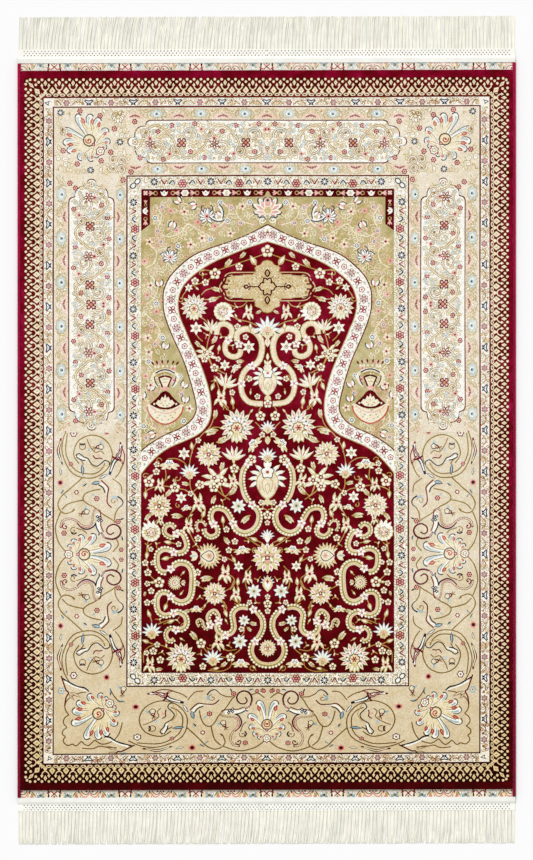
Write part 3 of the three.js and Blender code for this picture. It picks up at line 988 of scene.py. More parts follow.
# The lower corner: its scalloped outline, and split leaves where the outline meets the vines
for cusp in (((-289.3, -418.5), (-303.6, -421.3), (-316.5, -428.5), (-323, -437.1), (-323, -447.1),
        (-317.3, -455.7)), ((-317.3, -455.7), (-323.7, -460.2), (-326.1, -468.3), (-320.1, -475.8)),
        ((-320.1, -475.8), (-326.3, -480.5), (-327.4, -486.4), (-322.4, -490.4)),
        ((-322.4, -490.4), (-326.1, -497.3), (-319.7, -504.4), (-310.8, -502.3)),
        ((-310.8, -502.3), (-305.1, -505.2), (-297.2, -498)), ((-297.2, -498), (-286.5, -505.2),
        (-275.7, -495.8)), ((-275.7, -495.8), (-263.5, -502.9), (-246.3, -497.6), (-236.3, -484.4),
        (-232, -468))):
    stroke(rug, "vine", smooth(cusp), 1.9)
for at in (pen(-330, -395), pen(-213, -506, 135, 1, -1)):
    thread(at, "navy", [(2, -2), (12, -8), (26, -15), (37, -17), (44, -23)], 2.4)
    thread(at, "white", [(6, -7), (18, -14), (32, -19), (42, -23)], 3, 1.5)
    thread(at, "ruby", [(0, 2), (4, -10), (8, -21), (12, -25), (8, -33), (6, -46)], 2.2)
    outlined(inside(at, 14, -24, -20), "ochre", "border_low", 20, 5, -0.1)
    outlined(inside(at, 12, -26, -60), "ochre", "border_low", 14, 4, 0.2)
    dot(at, 0, -22, "blue", 5.5, 6, 0.15)
    dot(at, 0, -22, "cream", 3.2, 6, 0.15)
    dot(at, 0, -22, "ochre", 1.4, steps=6)
palmette(pen(-263.5, -447.1, 222.6), 1, CORNER_PLUMES)
pinched_flower(pen(-232, -417, 75))
for turn, x, y in ((75, -252, -424), (-25, -241, -432)):
    at = pen(x, y, turn)
    leaf(at, "navy", 12, 3.4, 0.35)
    leaf(inside(at, 1.5, 1.2), "blue", 9, 2, 0.3)
thread(rug, "ochre", [(-250, -418), (-246, -425), (-239, -433)], 1.8)
thread(rug, "ochre", [(-296, -509), (-279, -510), (-268, -506), (-256, -508), (-240, -509)], 1.7)
lay("brick", [(0, -INNER_END), (-INNER_SIDE, -INNER_END), (-INNER_SIDE, MIDDLE + 1), (0, MIDDLE + 1)][::-1])
weave("pile_main_border_lower", "border_low", [(0, MIDDLE), (-MAIN_SIDE, MIDDLE), (-MAIN_SIDE, -MAIN_END),
    (0, -MAIN_END)], [[(0, MIDDLE + 2), (-INNER_SIDE + 2.1, MIDDLE + 2),
    (-INNER_SIDE + 2.1, -INNER_END + 2.1), (0, -INNER_END + 2.1)]])

# The inner guard, white, between a brick line and the niche's frame: navy asters and ruby rosettes take
# turns, with a ruby fork and a navy hook between them, on a fine gold vine.
GUARD_IN_SIDE, GUARD_IN_END = 202.8, 388.2
GUARD_OUT_SIDE, GUARD_OUT_END = INNER_SIDE - 2.1, INNER_END - 2.1


def fork(at):
    """A ruby fork over two ochre leaves."""
    thread(at, "ruby", [(-4.6, 5), (-1.5, 0.5), (0.6, -3.4)], 1.8, steps=3)
    thread(at, "ruby", [(5, 4), (2.6, 0.6), (0.6, -3.4)], 1.5, steps=3)
    leaf(inside(at, 0.8, -0.5, 80), "pink", 5, 2.2)
    for side in (-1, 1):
        leaf(inside(at, side * 5, -3, 90 - side * 30), "ochre", 6, 1.8, side * 0.3)


def hook(at):
    """A navy hook with a blue leaf in its bend."""
    thread(at, "navy", [(-5, -2.6), (-2.4, 1.2), (0.4, 3.4), (3.2, 0.8), (4.6, -2.6)], 2.1, 1.4, steps=3)
    leaf(inside(at, -0.4, -3.4, 70), "blue", 5.5, 2.6)
    leaf(inside(at, 3.4, -5.2, 140), "gold", 6, 2.0, 0.3)
    leaf(inside(at, -3.6, 5.4, -160), "ochre", 5, 1.6, 0.3)


def ruby_rosette(at):
    blob(at, "ruby", 6.8, 6, 0.14)
    for i in range(6):
        dot(spun(at, 60 * i), 4.3, 0, "pink", 1.7, steps=6)
    blob(at, "ruby", 2.4, steps=7)
    blob(at, "pink", 1.3, steps=6)


def guard_run(at, start, step, count):
    """Motifs along one side of the guard, from its middle outwards."""
    for side in (-1, 1):
        for k in range(count):
            u = side * (start + k * step)
            here = inside(at, u, 0)
            if k % 2:
                ruby_rosette(inside(here, 0, -1.5))
            else:
                aster(inside(here, 0, 1.5), "navy", 5.6)
            near, far = (0.37, 0.66) if k % 2 == 0 else (0.66, 0.37)
            if k < count - 1:
                fork(inside(at, u + side * near * step, 0.5))
                hook(inside(at, u + side * far * step, 0))
            for part in (0.18, 0.5, 0.82):
                spot = inside(at, u + side * part * step, 0)
                leaf(inside(spot, -3, 6.2, 25), "gold", 7, 1.6, -0.4)
                leaf(inside(spot, 3, -6.4, 190), "gold", 7, 1.6, -0.4)
    if start:
        for u in (-12.5, 12.5):
            fork(inside(at, u, 0.5))
        hook(at)


guard_row = (GUARD_OUT_END + GUARD_IN_END) / 2
guard_column = (GUARD_OUT_SIDE + GUARD_IN_SIDE) / 2
VINE, HEARTS = ("gold", "line", "line"), ("white",)
scrolls(11, (-GUARD_OUT_SIDE, GUARD_IN_END), (0, GUARD_OUT_END), 7.1, lambda x, y: True, VINE, HEARTS, 1)
scrolls(12, (-GUARD_OUT_SIDE, -GUARD_OUT_END), (0, -GUARD_IN_END), 7.1, lambda x, y: True, VINE, HEARTS, 1)
scrolls(13, (-GUARD_OUT_SIDE, -GUARD_IN_END), (-GUARD_IN_SIDE, GUARD_IN_END), 7.1, lambda x, y: True, VINE,
    HEARTS, 1)
guard_run(pen(0, guard_row), 0, 45.5, 5)
guard_run(pen(0, -guard_row, 0, 1, -1), 0, 45.5, 5)
guard_run(pen(-guard_column, -2.2, 90), 27.3, 42.75, 9)
for end in (1, -1):
    at = pen(-guard_column + 1.5, end * (guard_row - 1), 45 * end, 1, end)
    dot(at, -5, 0, "navy", 4.6, long=1.25)
    dot(at, 5, 0, "navy", 4.6, long=1.25)
    dot(at, -4.8, 0, "white", 2.9, long=1.4)
    dot(at, 4.8, 0, "white", 2.9, long=1.4)
weave("pile_inner_guard", "white", half(GUARD_OUT_SIDE, GUARD_OUT_END), [half(GUARD_IN_SIDE, GUARD_IN_END)])


# The niche's frame: an edging of white tulips and buds on wine red, olive spandrels full of blossoms,
# and the pointed arch, a white band of rosettes between a brick line outside and a gold line inside. A
# lamp is woven into each side.
FRAME_SIDE, FRAME_END = GUARD_IN_SIDE, GUARD_IN_END
arch_outer = smooth([(0, 330.6), (-31.7, 314.5), (-61.8, 302.7), (-91.9, 293), (-117.7, 282.3),
    (-139.1, 266.1), (-156.3, 247.9), (-166, 226.4), (-167.1, 209.2), (-166, 192), (-159.6, 170.5),
    (-149.4, 145.8), (-136.5, 117.1), (-126.5, 88.5), (-118.6, 59.8), (-115, 42.7), (-115.7, 29.8),
    (-125.1, 15.4), (-142.2, 4), (-165.2, -6.1), (-182.4, -16.1), (-196.7, -26.1), (-203.1, -32.6)], 3)
arch_inner = smooth([(0, 302.7), (-27.4, 294.1), (-57.5, 282.3), (-87.6, 269.4), (-113.4, 253.3),
    (-132.7, 235), (-141.3, 215.7), (-142.4, 198.5), (-138.1, 179.1), (-131.6, 164.1), (-124.3, 145.8),
    (-112.2, 120), (-102.1, 94.2), (-93.5, 65.6), (-90, 39.8), (-92.1, 19.7), (-100.7, 4), (-115, -7.5),
    (-136.5, -17.5), (-156.6, -26.1), (-175.2, -39), (-189.5, -53.3), (-203.1, -70)], 3)


def tulip(at):
    lay("white", [at(*p) for p in ((-6.2, 3), (-3.4, 1.2), (0, 4.4), (3.4, 1.2), (6.2, 3), (4.4, -2.2),
        (2, -4.4), (-2, -4.4), (-4.4, -2.2))])
    blob(at, "gold", 1.5, steps=6)


def round_blossom(at):
    blob(at, "white", 5.0, 6, 0.12, 1.25)
    dot(at, 0, -0.4, "straw", 3.1, steps=9)
    dot(at, 0, -0.6, "white", 1.9, steps=7)
    dot(at, 0, -0.6, "olive", 0.9, steps=6)


def ring_and_bud(at):
    """A ring and then a bud, going to the right."""
    dot(at, 14, 0, "gold", 3.6, steps=10)
    dot(at, 13.6, 0, "wine", 2.3, steps=8)
    for turn in (-32, 0, 32):
        leaf(inside(at, 18.5, 0, turn), "pink", 7.5, 2.7)
    dot(at, 18.5, 0, "pink", 1.8, steps=6)


def spandrel_flower(at, kind):
    """One of the spandrels' five kinds of blossom."""
    if kind == 0:
        for i in range(5):
            ray(at, 72 * i, "cream", 7.2, 3.8, start=0.4)
        for i in range(5):
            ray(at, 72 * i + 36, "pink", 4.6, 1.6, start=0.4, steps=3)
        blob(at, "ruby", 1.9, 4, 0.25)
    elif kind == 1:
        for i in range(6):
            ray(at, 60 * i, "pink", 6.2, 3, start=0.4)
        blob(at, "white", 3.2, steps=8)
        blob(at, "navy", 2.4, steps=7)
        blob(at, "cream", 1.3, steps=6)
    elif kind == 2:
        blob(at, "white", 4.6, 6, 0.16)
        blob(at, "navy", 3.2, 6, 0.12)
        blob(at, "white", 2.2, steps=7)
        blob(at, "blue", 1.2, steps=6)
    elif kind == 3:
        for i in range(5):
            dot(spun(at, 72 * i), 3, 0, "pink", 2.1, steps=7)
        blob(at, "coral", 1.8, steps=6)
    else:
        for side in (-1, 1):
            ray(at, side * 42, "white", 11, 4, side * -0.3)
            thread(spun(at, side * 42), "navy", [(3, side * 2.4), (8, side * 1.4), (12, side * -4)], 1.5,
                steps=3)
        leaf(at, "pink", 9, 3)
        blob(at, "ruby", 1.6, steps=6)


def big_palmette(at):
    """The spandrel's split palmette: white petals with hooked navy outlines round a pink heart."""
    for angle in (150, 118, 86, 54, 22, 0):
        for side in ((1, -1) if angle else (1,)):
            petal = spun(at, side * angle)
            leaf(petal, "navy", 15.5, 7.2, side * -0.12)
            leaf(petal, "white", 14, 5, side * -0.12)
    for side in (-1, 1):
        thread(spun(at, side * 35), "navy", [(8, 0), (15, side * 1), (19, side * -3), (17, side * -6)], 1.6)
    blob(at, "pink", 4.4, 5, 0.15)
    blob(at, "ruby", 2.1, steps=6)


lay("olive_ground", [(0, 375.1), (-188.6, 375.1), (-188.6, 331.7), (-203, 320.9), (-203, -36), (0, -36)])
lay("olive_ground", [(0, 384.8), (-2.6, 382), (-4.6, 377.4), (-9.4, 374.6), (0, 374)])
for x in (-166, -99.4, -32.8):
    tulip(pen(x, 381.6))
    for side in (-1, 1):
        ring_and_bud(pen(x, 381.6, 0 if side > 0 else 180))
for x in (-132.7, -66.1):
    round_blossom(pen(x, 381.6))
quatrefoil(pen(-196, 382), "pink", "white", 4)
tulip(pen(-195.8, 353.2, -90, 1))
ring_and_bud(pen(-195.8, 353.2, -90, 0.9))
ring_and_bud(pen(-195.8, 353.2, 90, 0.7))

SPANDREL_VINES = (((-180, 362), (-170, 345), (-176, 322), (-160, 312), (-140, 318), (-128, 332),
    (-110, 322), (-92, 312)), ((-120, 360), (-104, 352), (-98, 338), (-104, 326)),
    ((-75, 368), (-62, 356), (-66, 340), (-78, 328), (-96, 322)),
    ((-44, 366), (-50, 350), (-40, 336), (-22, 330)), ((-190, 300), (-178, 288), (-182, 270), (-196, 262)),
    ((-188, 250), (-176, 236), (-180, 216), (-194, 204)), ((-198, 190), (-184, 178), (-172, 160),
    (-182, 142)), ((-198, 134), (-186, 124), (-190, 108)), ((-198, 58), (-190, 40), (-196, 16), (-180, 4)))


def in_spandrel(x, y):
    if x < -184 and y > 312 or y > 369:
        return False
    return x > -186 and y > 332 - x * x / 260 or x < -168 or x < -150 and 0 < y < 60


CURLY, TINTS = ("cream", "blush", "straw", "pink", "cream"), ("olive_ground", "olive_ground",
    "olive_ground", "straw")
scrolls(21, (-201, 230), (0, 374), 9, in_spandrel, CURLY, TINTS, 1.2)
scrolls(22, (-201, -30), (-112, 230), 9, in_spandrel, CURLY, TINTS, 1.2)
for vine in SPANDREL_VINES:
    stroke(rug, "cream", smooth(vine), 1.5)
for kind, x, y, turn in ((1, -169.2, 359.2, 0), (0, -133.8, 351.5, 20), (2, -180.3, 341.8, 0),
        (1, -176.4, 320.8, 30), (0, -189.4, 303.8, 0), (4, -114.5, 363, 200), (4, -140, 366, 140),
        (1, -58.5, 358, 10), (0, -40.6, 359.8, 0), (2, -28.8, 366.2, 0), (1, -43.2, 333, 0),
        (0, -59.6, 316.2, 10), (3, -84.5, 328, 0), (2, -64.2, 336.4, 20), (0, -123.2, 299, 0),
        (3, -146, 322, 0), (2, -143, 297, 20), (4, -150.4, 336, 250), (3, -155.4, 353, 0),
        (1, -171, 303.5, 0), (2, -76, 366, 0), (4, -82.5, 350.5, 300), (3, -112, 335, 0),
        (0, -105, 309, 40), (2, -91, 307, 0), (4, -160, 284, 210), (3, -197, 273, 0), (0, -187.6, 234.2, 0),
        (3, -192.4, 218.6, 0), (4, -172, 232, 100), (2, -178, 205, 0), (1, -186, 170, 0),
        (3, -178, 192, 30), (0, -192, 150, 0), (2, -168, 150, 0), (4, -165.6, 132, 70),
        (0, -190.6, 127.4, 0), (1, -180, 140, 0), (2, -191, 112, 20), (3, -196, 88.6, 0), (4, -190, 66, 60),
        (0, -188, 74, 10), (4, -200, 52, 100), (1, -138.6, 60, 0), (4, -136, 70, 60), (4, -133, 46, 80),
        (0, -125.8, 36.4, 0), (2, -134.6, 16.6, 0), (1, -195.2, -10.8, 0), (4, -180.6, -3.4, 200),
        (2, -199, 8, 0), (3, -150, 82, 0), (2, -141, 88, 0), (3, -152, 100, 0)):
    spandrel_flower(pen(x, y, turn), kind)
big_palmette(pen(-97.4, 344, 90, 0.95))
big_palmette(pen(-155.6, 279, 75, 0.85))
for x, y, turn in ((-72, 352, -45), (-82, 337, 200)):
    at = pen(x, y, turn)
    thread(at, "navy", [(-12, 4), (-4, 3), (4, -2), (9, -10)], 1.7)
    thread(inside(at, 0, -2.2), "white", [(-10, 3), (-4, 2.4), (3, -2), (7, -8)], 3.4, 1.6)
# Over the arch's point stands one larger palmette
for angle, reach in ((128, 17), (100, 22), (70, 26), (40, 25), (14, 22)):
    ray(pen(0, 352, 90), angle, "white", reach, 9, -0.12)
    ray(pen(0, 352, 90), angle, "pink", reach * 0.8, 5, -0.12, start=1)
    thread(spun(pen(0, 352, 90), angle), "navy", [(reach * 0.7, 3.4), (reach * 0.95, 1.4),
        (reach * 1.02, -3.5)], 1.7, steps=3)
blob(pen(0, 353.4), "cream", 7.5, 6, 0.1)
blob(pen(0, 353.4), "straw", 5.4, 6, 0.12)
blob(pen(0, 369.6), "pink", 5, 5, 0.2)
blob(pen(0, 369.6), "navy", 2.2, 4, 0.2)
curl(pen(-9, 338, 60, 1, -1), "white", 7, 1.0, 1.7)
thread(rug, "navy", [(-13, 342), (-7, 344), (-2.5, 338)], 1.5)

# The lamp
lamp_at = pen(-164.5, 58)
for d, tilt in ((-17.5, 128), (-11.5, 112), (-4, 98), (4, 82), (11.5, 68), (17.5, 52)):
    leaf(inside(lamp_at, d, 51 - abs(d) * 0.16, tilt), "wine", 7.6, 3)
    dot(lamp_at, d * 0.9, 46.5, "cream", 2, steps=6)
outer_dome = smooth([(-21, 24), (-19, 32), (-14, 36.5), (0, 40.5), (14, 36.5), (19, 32), (21, 24)])
stroke(lamp_at, "cream", outer_dome, 5)
thread(lamp_at, "navy", [(-15.5, 35), (-8, 39.2), (0, 40.8), (8, 39.2), (15.5, 35)], 2.1)
thread(lamp_at, "ochre", [(-11, 32.4), (-5, 35), (0, 36), (5, 35), (11, 32.4)], 1.3)
for side in (-1, 1):
    thread(lamp_at, "cream", [(side * 20.5, 28), (side * 18, 20), (side * 11.5, 13)], 4.6, 3)
    thread(lamp_at, "navy", [(side * 17.5, 30), (side * 16, 22), (side * 11.5, 14.4)], 1.7)
lay("wine", [lamp_at(*p) for p in ((-11.6, 28), (-7, 31), (0, 32), (7, 31), (11.6, 28), (8.4, 20),
    (5.6, 12.4), (-5.6, 12.4), (-8.4, 20))])
lay("cream", [lamp_at(*p) for p in ((-8.6, 27), (0, 29.6), (8.6, 27), (5.2, 19), (3, 13.6), (-3, 13.6),
    (-5.2, 19))])
stroke(lamp_at, "gold", [(-5, 26), (5, 26)], 1.2)
stroke(lamp_at, "gold", [(-3.6, 21), (3.6, 21)], 1.2)
dot(lamp_at, 0, 10.6, "pink", 3.4, long=1.9)
lay("cream", [lamp_at(*p) for p in ((-29.5, -16), (-26, -14.4), (0, -27.5), (26, -14.4), (29.5, -16),
    (28, -27), (20, -39), (9, -46.6), (0, -48.5), (-9, -46.6), (-20, -39), (-28, -27))])
thread(lamp_at, "coral", [(-28.8, -18), (-26.6, -28), (-19, -38), (-9, -44.6), (0, -47)], 2.6)
thread(lamp_at, "coral", [(28.8, -18), (26.6, -28), (19, -38), (9, -44.6), (0, -47)], 2.6)
thread(lamp_at, "pink", [(-24, -18), (-14, -25.5), (0, -29), (14, -25.5), (24, -18)], 1.8)
body = smooth([(-24.6, -14.6), (-12.5, -3.4), (-7, 3.6), (0, 6.8), (7, 3.6), (12.5, -3.4), (24.6, -14.6)])
lay("wine", [lamp_at(*p) for p in body + smooth([(24.6, -14.6), (13, -20.6), (0, -23), (-13, -20.6),
    (-24.6, -14.6)])[1:-1]])
lay("cream", [lamp_at(*p) for p in ((-15.5, -13), (-11, -7.5), (-8, -8.6), (-5.4, -2.4), (-2, -4.4), (0, 2),
    (2, -4.4), (5.4, -2.4), (8, -8.6), (11, -7.5), (15.5, -13), (9, -18.4), (0, -20), (-9, -18.4))])
for side in (-1, 1):
    dot(lamp_at, side * 17.6, -14, "cream", 1.8, steps=6)
for u, v in ((0, -9), (-6, -13), (6, -13), (-3, -16.5), (3, -16.5), (0, -34), (-9, -32), (9, -32),
        (-16, -28), (16, -28), (-5, -39), (5, -39), (-12, -36), (12, -36)):
    dot(lamp_at, u, v, "gold", 1.3, 4, 0.3)

# The arch's band
lay("white", arch_outer + [(-203.1, -70)] + arch_inner[-2::-1])
stroke(rug, "brick", arch_outer, 2.0)
stroke(rug, "gold", arch_inner, 3)


def along(line, distance):
    """The place and the heading at a distance along a line."""
    for a, b in zip(line, line[1:]):
        step = math.hypot(b[0] - a[0], b[1] - a[1])
        if distance <= step:
            t = distance / step
            return a[0] + (b[0] - a[0]) * t, a[1] + (b[1] - a[1]) * t, math.degrees(math.atan2(b[1] - a[1],
                b[0] - a[0]))
        distance -= step
    return None


middle_line = [((a[0] + b[0]) / 2, (a[1] + b[1]) / 2) for a, b in zip(arch_outer, arch_inner)]
spacing, k, travelled = 15.6, 0, 9
leaf(pen(0, 317, 90), "ochre", 12, 5, start=-6)
leaf(pen(0, 317, 90), "cream", 9, 3, start=-4.5)
blob(pen(0, 318), "ruby", 1.6, steps=6)
while along(middle_line, travelled + 4):
    x, y, turn = along(middle_line, travelled)
    at = pen(x, y, turn)
    away = inside(at, 0, -0.6)
    if k % 3 == 0:
        for i in range(6):
            dot(spun(away, 60 * i), 4.9, 0, "ruby", 2.7, steps=8)
            dot(spun(away, 60 * i), 5, 0, "white", 1.75, steps=7)
            dot(spun(away, 60 * i), 4.6, 0, "pink", 0.9, steps=5)
        blob(away, "ruby", 2.1, steps=7)
        blob(away, "white", 1.2, steps=6)
    elif k % 3 == 1:
        for i in range(4):
            ray(away, 90 * i + 45, "ruby", 8, 6.4, steps=4)
            ray(away, 90 * i + 45, "white", 5.4, 3.2, start=1.6, steps=4)
        blob(away, "coral", 1.7, steps=6)
    else:
        blob(away, "ruby", 4.7, 5, 0.1)
        blob(away, "white", 3.6, 5, 0.1)
        blob(away, "pink", 2.2, 5, 0.1)
        blob(away, "ruby", 1, steps=6)
    for side in (-1, 1):
        dot(at, 7.6, side * 7.4 - 1, "blue", 2, steps=6)
        dot(at, 0.5, side * 9.4 - 1, "pink", 1.2, steps=5)
        leaf(inside(at, 5.4, side * 5.6 - 1, side * 20), "gold", 4.6, 1.3, side * 0.4, steps=3)
        leaf(inside(at, -4, side * 8.4 - 1, 180), "line", 4.6, 1.5, side * 0.3, steps=3)
    travelled += spacing * (1.08 if k % 3 == 0 else 0.96)
    k += 1
YARNS.update(olive_ground=dye("c3b582"))
weave("pile_niche_frame", "wine", half(FRAME_SIDE, FRAME_END)[:2] + [(-FRAME_SIDE, -80), (0, -80)],
    [arch_inner + [(-204, -70), (-204, -82), (0, -82)]])

# The niche's field, deep crimson: lotuses, roses and palmettes in cream and white on gold stems, with
# scalloped cloud bands that curl between them, and a golden tablet under the arch's point.
taken = []


def offset(line, distance):
    """A line beside a line."""
    moved = []
    for i, (u, v) in enumerate(line):
        (a, b), (c, d) = line[max(i - 1, 0)], line[min(i + 1, len(line) - 1)]
        n = math.hypot(c - a, d - b) or 1
        moved.append((u - (d - b) / n * distance, v + (c - a) / n * distance))
    return moved


def even(line, step):
    """Places an even distance apart along a line."""
    total = sum(math.hypot(b[0] - a[0], b[1] - a[1]) for a, b in zip(line, line[1:]))
    count = max(2, round(total / step))
    return [along(line, total * (i + 0.5) / count)[:2] for i in range(count)]


YARNS.update(stem=dye("c4a463"), ivory=dye("e9deb4"), leafy=dye("d3c48c"), moss=dye("9a8646"))


def cloud_band(points, side, wide):
    """A ribbon with a row of scallops on one side and a pink lining on the other, plain near the arch."""
    line = smooth(points, 5)
    for x, y in even(line, 8):
        taken.append((x, y, wide * 0.55))
    if points[0][1] > 0:
        for yarn, share, aside in (("moss", 1, 0), ("ivory", 0.84, 0), ("cream", 0.4, 0.14),
                ("blush", 0.2, -0.2)):
            stroke(rug, yarn, offset(line, side * wide * aside), wide * share)
        for x, y in even(offset(line, side * wide * 0.36), 7):
            blob(pen(x, y), "gold", wide * 0.1, steps=5)
        return
    edge = offset(line, side * wide * 0.3)
    stroke(rug, "moss", offset(line, side * wide * 0.18), wide * 0.42)
    for x, y in even(edge, 5.1):
        blob(pen(x, y), "leafy", wide * 0.25, steps=9)
    for x, y in even(offset(line, side * wide * 0.36), 5.1):
        blob(pen(x, y), "white", wide * 0.15, steps=7)
    stroke(rug, "leafy", offset(line, -side * wide * 0.1), wide * 0.44)
    stroke(rug, "ivory", offset(line, -side * wide * 0.08), wide * 0.24)
    stroke(rug, "moss", offset(line, side * wide * 0.08), wide * 0.09)
    stroke(rug, "blush", offset(line, -side * wide * 0.31), wide * 0.14)


def clasp(x, y, turn):
    """A knot of petals that ties one ribbon to the next."""
    for angle in (-144, -72, 0, 72, 144):
        leaf(pen(x, y, turn + angle), "white", 7.6, 4.6)
    for angle in (-108, -36, 36, 108):
        leaf(pen(x, y, turn + angle), "pink", 5.6, 1.7, start=1)
    blob(pen(x, y), "ruby", 1.8, steps=6)
    blob(pen(x, y), "cream", 0.9, steps=5)
    taken.append((x, y, 7))


def petals(at, yarn, count, length, width, start=0, turn=0):
    """A ring of equal petals."""
    for i in range(count):
        ray(at, turn + 360 * i / count, yarn, length - start, width, full=0.8, start=start, steps=4)


def posy(at, r):
    """A small flower of five petals round a ruby ring."""
    for i in range(5):
        dot(spun(at, 72 * i + 18), r * 0.58, 0, "ivory", r * 0.42, steps=8)
    for i in range(5):
        dot(spun(at, 72 * i + 18), r * 0.64, 0, "white", r * 0.24, steps=6)
        ray(at, 72 * i + 54, "moss", r * 0.5, r * 0.12, start=r * 0.34, steps=3)
    blob(at, "ruby", r * 0.4, 5, 0.14)
    blob(at, "cream", r * 0.2, steps=6)


def star(at, r):
    petals(at, "cream", 6, r, r * 0.52, turn=30)
    petals(at, "white", 6, r * 0.94, r * 0.3, r * 0.2, 30)
    blob(at, "olive", r * 0.29, steps=8)
    blob(at, "cream", r * 0.2, steps=7)
    blob(at, "navy", r * 0.1, steps=5)


def daisy(at, r):
    """A flower of eight bluish petals with navy between them."""
    petals(at, "navy", 8, r * 0.74, r * 0.2, r * 0.25, 32.5)
    petals(at, "blue", 8, r, r * 0.5, r * 0.1, 10)
    petals(at, "white", 8, r * 0.96, r * 0.34, r * 0.18, 10)
    petals(at, "ivory", 8, r * 0.62, r * 0.14, r * 0.2, 10)
    blob(at, "gold", r * 0.2, steps=7)
    blob(at, "brown", r * 0.1, steps=5)


def rose(at, r, heart="pink"):
    """A large rose: jagged petals with navy between them, and a heart of curled pink petals."""
    for i in range(9):
        petal = spun(at, 40 * i + 10)
        for side in (-1, 1):
            leaf(inside(petal, r * 0.1, 0, side * 13), "ivory", r * 0.9, r * 0.34, side * 0.18, 0.75)
        leaf(petal, "white", r * 0.48, r * 0.28, 0.1, 0.75, start=r * 0.42)
        leaf(petal, heart, r * 0.3, r * 0.12, 0.1, 0.75, start=r * 0.5, steps=4)
        ray(at, 40 * i + 31, "navy", r * 0.4, r * 0.07, start=r * 0.36, steps=3)
    for i in range(6):
        petal = spun(at, 60 * i + 24)
        leaf(petal, "leafy", r * 0.52, r * 0.4, 0.2, 0.7)
        leaf(petal, "white" if i % 2 else heart, r * 0.36, r * 0.24, 0.2, 0.7, start=r * 0.08, steps=4)
        ray(at, 60 * i + 52, "navy", r * 0.22, r * 0.07, start=r * 0.22, steps=3)
    blob(at, "ruby", r * 0.16, 5, 0.2)
    blob(at, "cream", r * 0.08, steps=6)


def lotus_cup(at, r):
    """A fan of pointed petals on a round cup."""
    for angle in (186, 160, 134, 108, 80, 52, 26, -6):
        leaf(inside(at, 0, -r * 0.3, angle + 10), "navy", r * 1.0, r * 0.14, start=r * 0.2, steps=3)
    for angle in (176, 148, 120, 92, 64, 36, 6):
        leaf(inside(at, 0, -r * 0.3, angle), "blue", r * 1.22, r * 0.34, full=0.75)
        leaf(inside(at, 0, -r * 0.3, angle), "white", r * 1.16, r * 0.24, full=0.75)
    for angle in (205, 335):
        leaf(inside(at, 0, -r * 0.25, angle), "cream", r * 0.85, r * 0.3)
    dot(at, 0, -r * 0.5, "ivory", r * 0.48, 7, 0.1)
    for angle in (130, 90, 50):
        leaf(inside(at, 0, -r * 0.6, angle), "pink", r * 0.5, r * 0.13, start=r * 0.08, steps=3)
    dot(at, 0, -r * 0.6, "ochre", r * 0.15, steps=6)
    dot(at, 0, -r * 0.6, "cream", r * 0.08, steps=5)


def lily(at, r):
    """A trumpet with a frilled mouth and a thin foot."""
    for angle in (148, 122, 96, 70, 44, 20):
        leaf(inside(at, -r * 0.06, -r * 0.7, angle), "ivory", r * 1.62, r * 0.5, full=0.6)
    for angle in (146, 120, 97, 74, 48, 24):
        leaf(inside(at, -r * 0.06, -r * 0.7, angle), "white", r * 1.5, r * 0.2, full=0.6, start=r * 0.2,
            steps=4)
    for angle in (134, 58):
        leaf(inside(at, -r * 0.06, -r * 0.7, angle), "navy", r * 0.5, r * 0.13, start=r * 0.86, steps=3)
    for angle in (112, 84):
        leaf(inside(at, 0, -r * 0.7, angle), "coral", r * 0.8, r * 0.12, start=r * 0.3, steps=3)
    leaf(inside(at, 0, -r * 1.25, 90), "ivory", r * 0.9, r * 0.34)


def fan(at, r):
    """A great palmette: scalloped leaves in two rows, with a rosette low down."""
    for i, angle in enumerate(range(-56, 237, 24)):
        ray(at, angle, "ivory", r, r * 0.5, 0.05, 0.65)
        ray(at, angle, "white", r * 0.5, r * 0.26, 0.05, 0.7, start=r * 0.42)
        ray(at, angle, "pink" if i % 2 else "leafy", r * 0.3, r * 0.12, 0.05, start=r * 0.56, steps=4)
        ray(at, angle + 12, "navy", r * 0.4, r * 0.08, start=r * 0.46, steps=3)
    for i, angle in enumerate(range(-44, 225, 30)):
        ray(at, angle, "blue" if i % 2 else "pink", r * 0.64, r * 0.36, 0, 0.75)
        ray(at, angle, "white", r * 0.52, r * 0.22, 0, 0.75, start=r * 0.08)
        ray(at, angle + 15, "navy", r * 0.24, r * 0.07, start=r * 0.34, steps=3)
    dot(at, 0, -r * 0.12, "moss", r * 0.36, 9, 0.1)
    dot(at, 0, -r * 0.12, "cream", r * 0.29, 9, 0.1)
    petals(inside(at, 0, -r * 0.12), "coral", 6, r * 0.22, r * 0.1, r * 0.04)
    dot(at, 0, -r * 0.12, "ruby", r * 0.07, steps=6)
    for angle in (246, 270, 294):
        leaf(inside(at, 0, -r * 0.3, angle), "ivory", r * 0.7, r * 0.34)
        leaf(inside(at, 0, -r * 0.3, angle), "white", r * 0.4, r * 0.14, start=r * 0.2)


def half_rose(at, r):
    """A rose seen from the side, its scalloped petals behind a pink and navy heart."""
    for angle in range(30, 331, 25):
        dot(spun(at, angle), r * 0.72, 0, "ivory", r * 0.27, steps=8)
    blob(at, "ivory", r * 0.72, steps=14)
    for angle in range(30, 331, 25):
        dot(spun(at, angle), r * 0.78, 0, "white", r * 0.15, steps=6)
        ray(at, angle + 12, "ochre", r * 0.3, r * 0.05, start=r * 0.42, steps=3)
    for angle in (-26, 26, 0):
        leaf(at, "ivory", r * 1.2, r * 0.4)
        ray(at, angle, "white", r * 1.25, r * 0.4, 0.06)
    blob(at, "brick", r * 0.46, 6, 0.14)
    blob(at, "cream", r * 0.4, 6, 0.14)
    for angle in (60, 130, 200, 270, 340):
        ray(at, angle, "pink", r * 0.36, r * 0.15, 0.2, steps=4)
    for angle in (95, 235):
        ray(at, angle, "navy", r * 0.34, r * 0.09, 0.2, start=r * 0.08, steps=3)
    blob(at, "white", r * 0.1, steps=6)


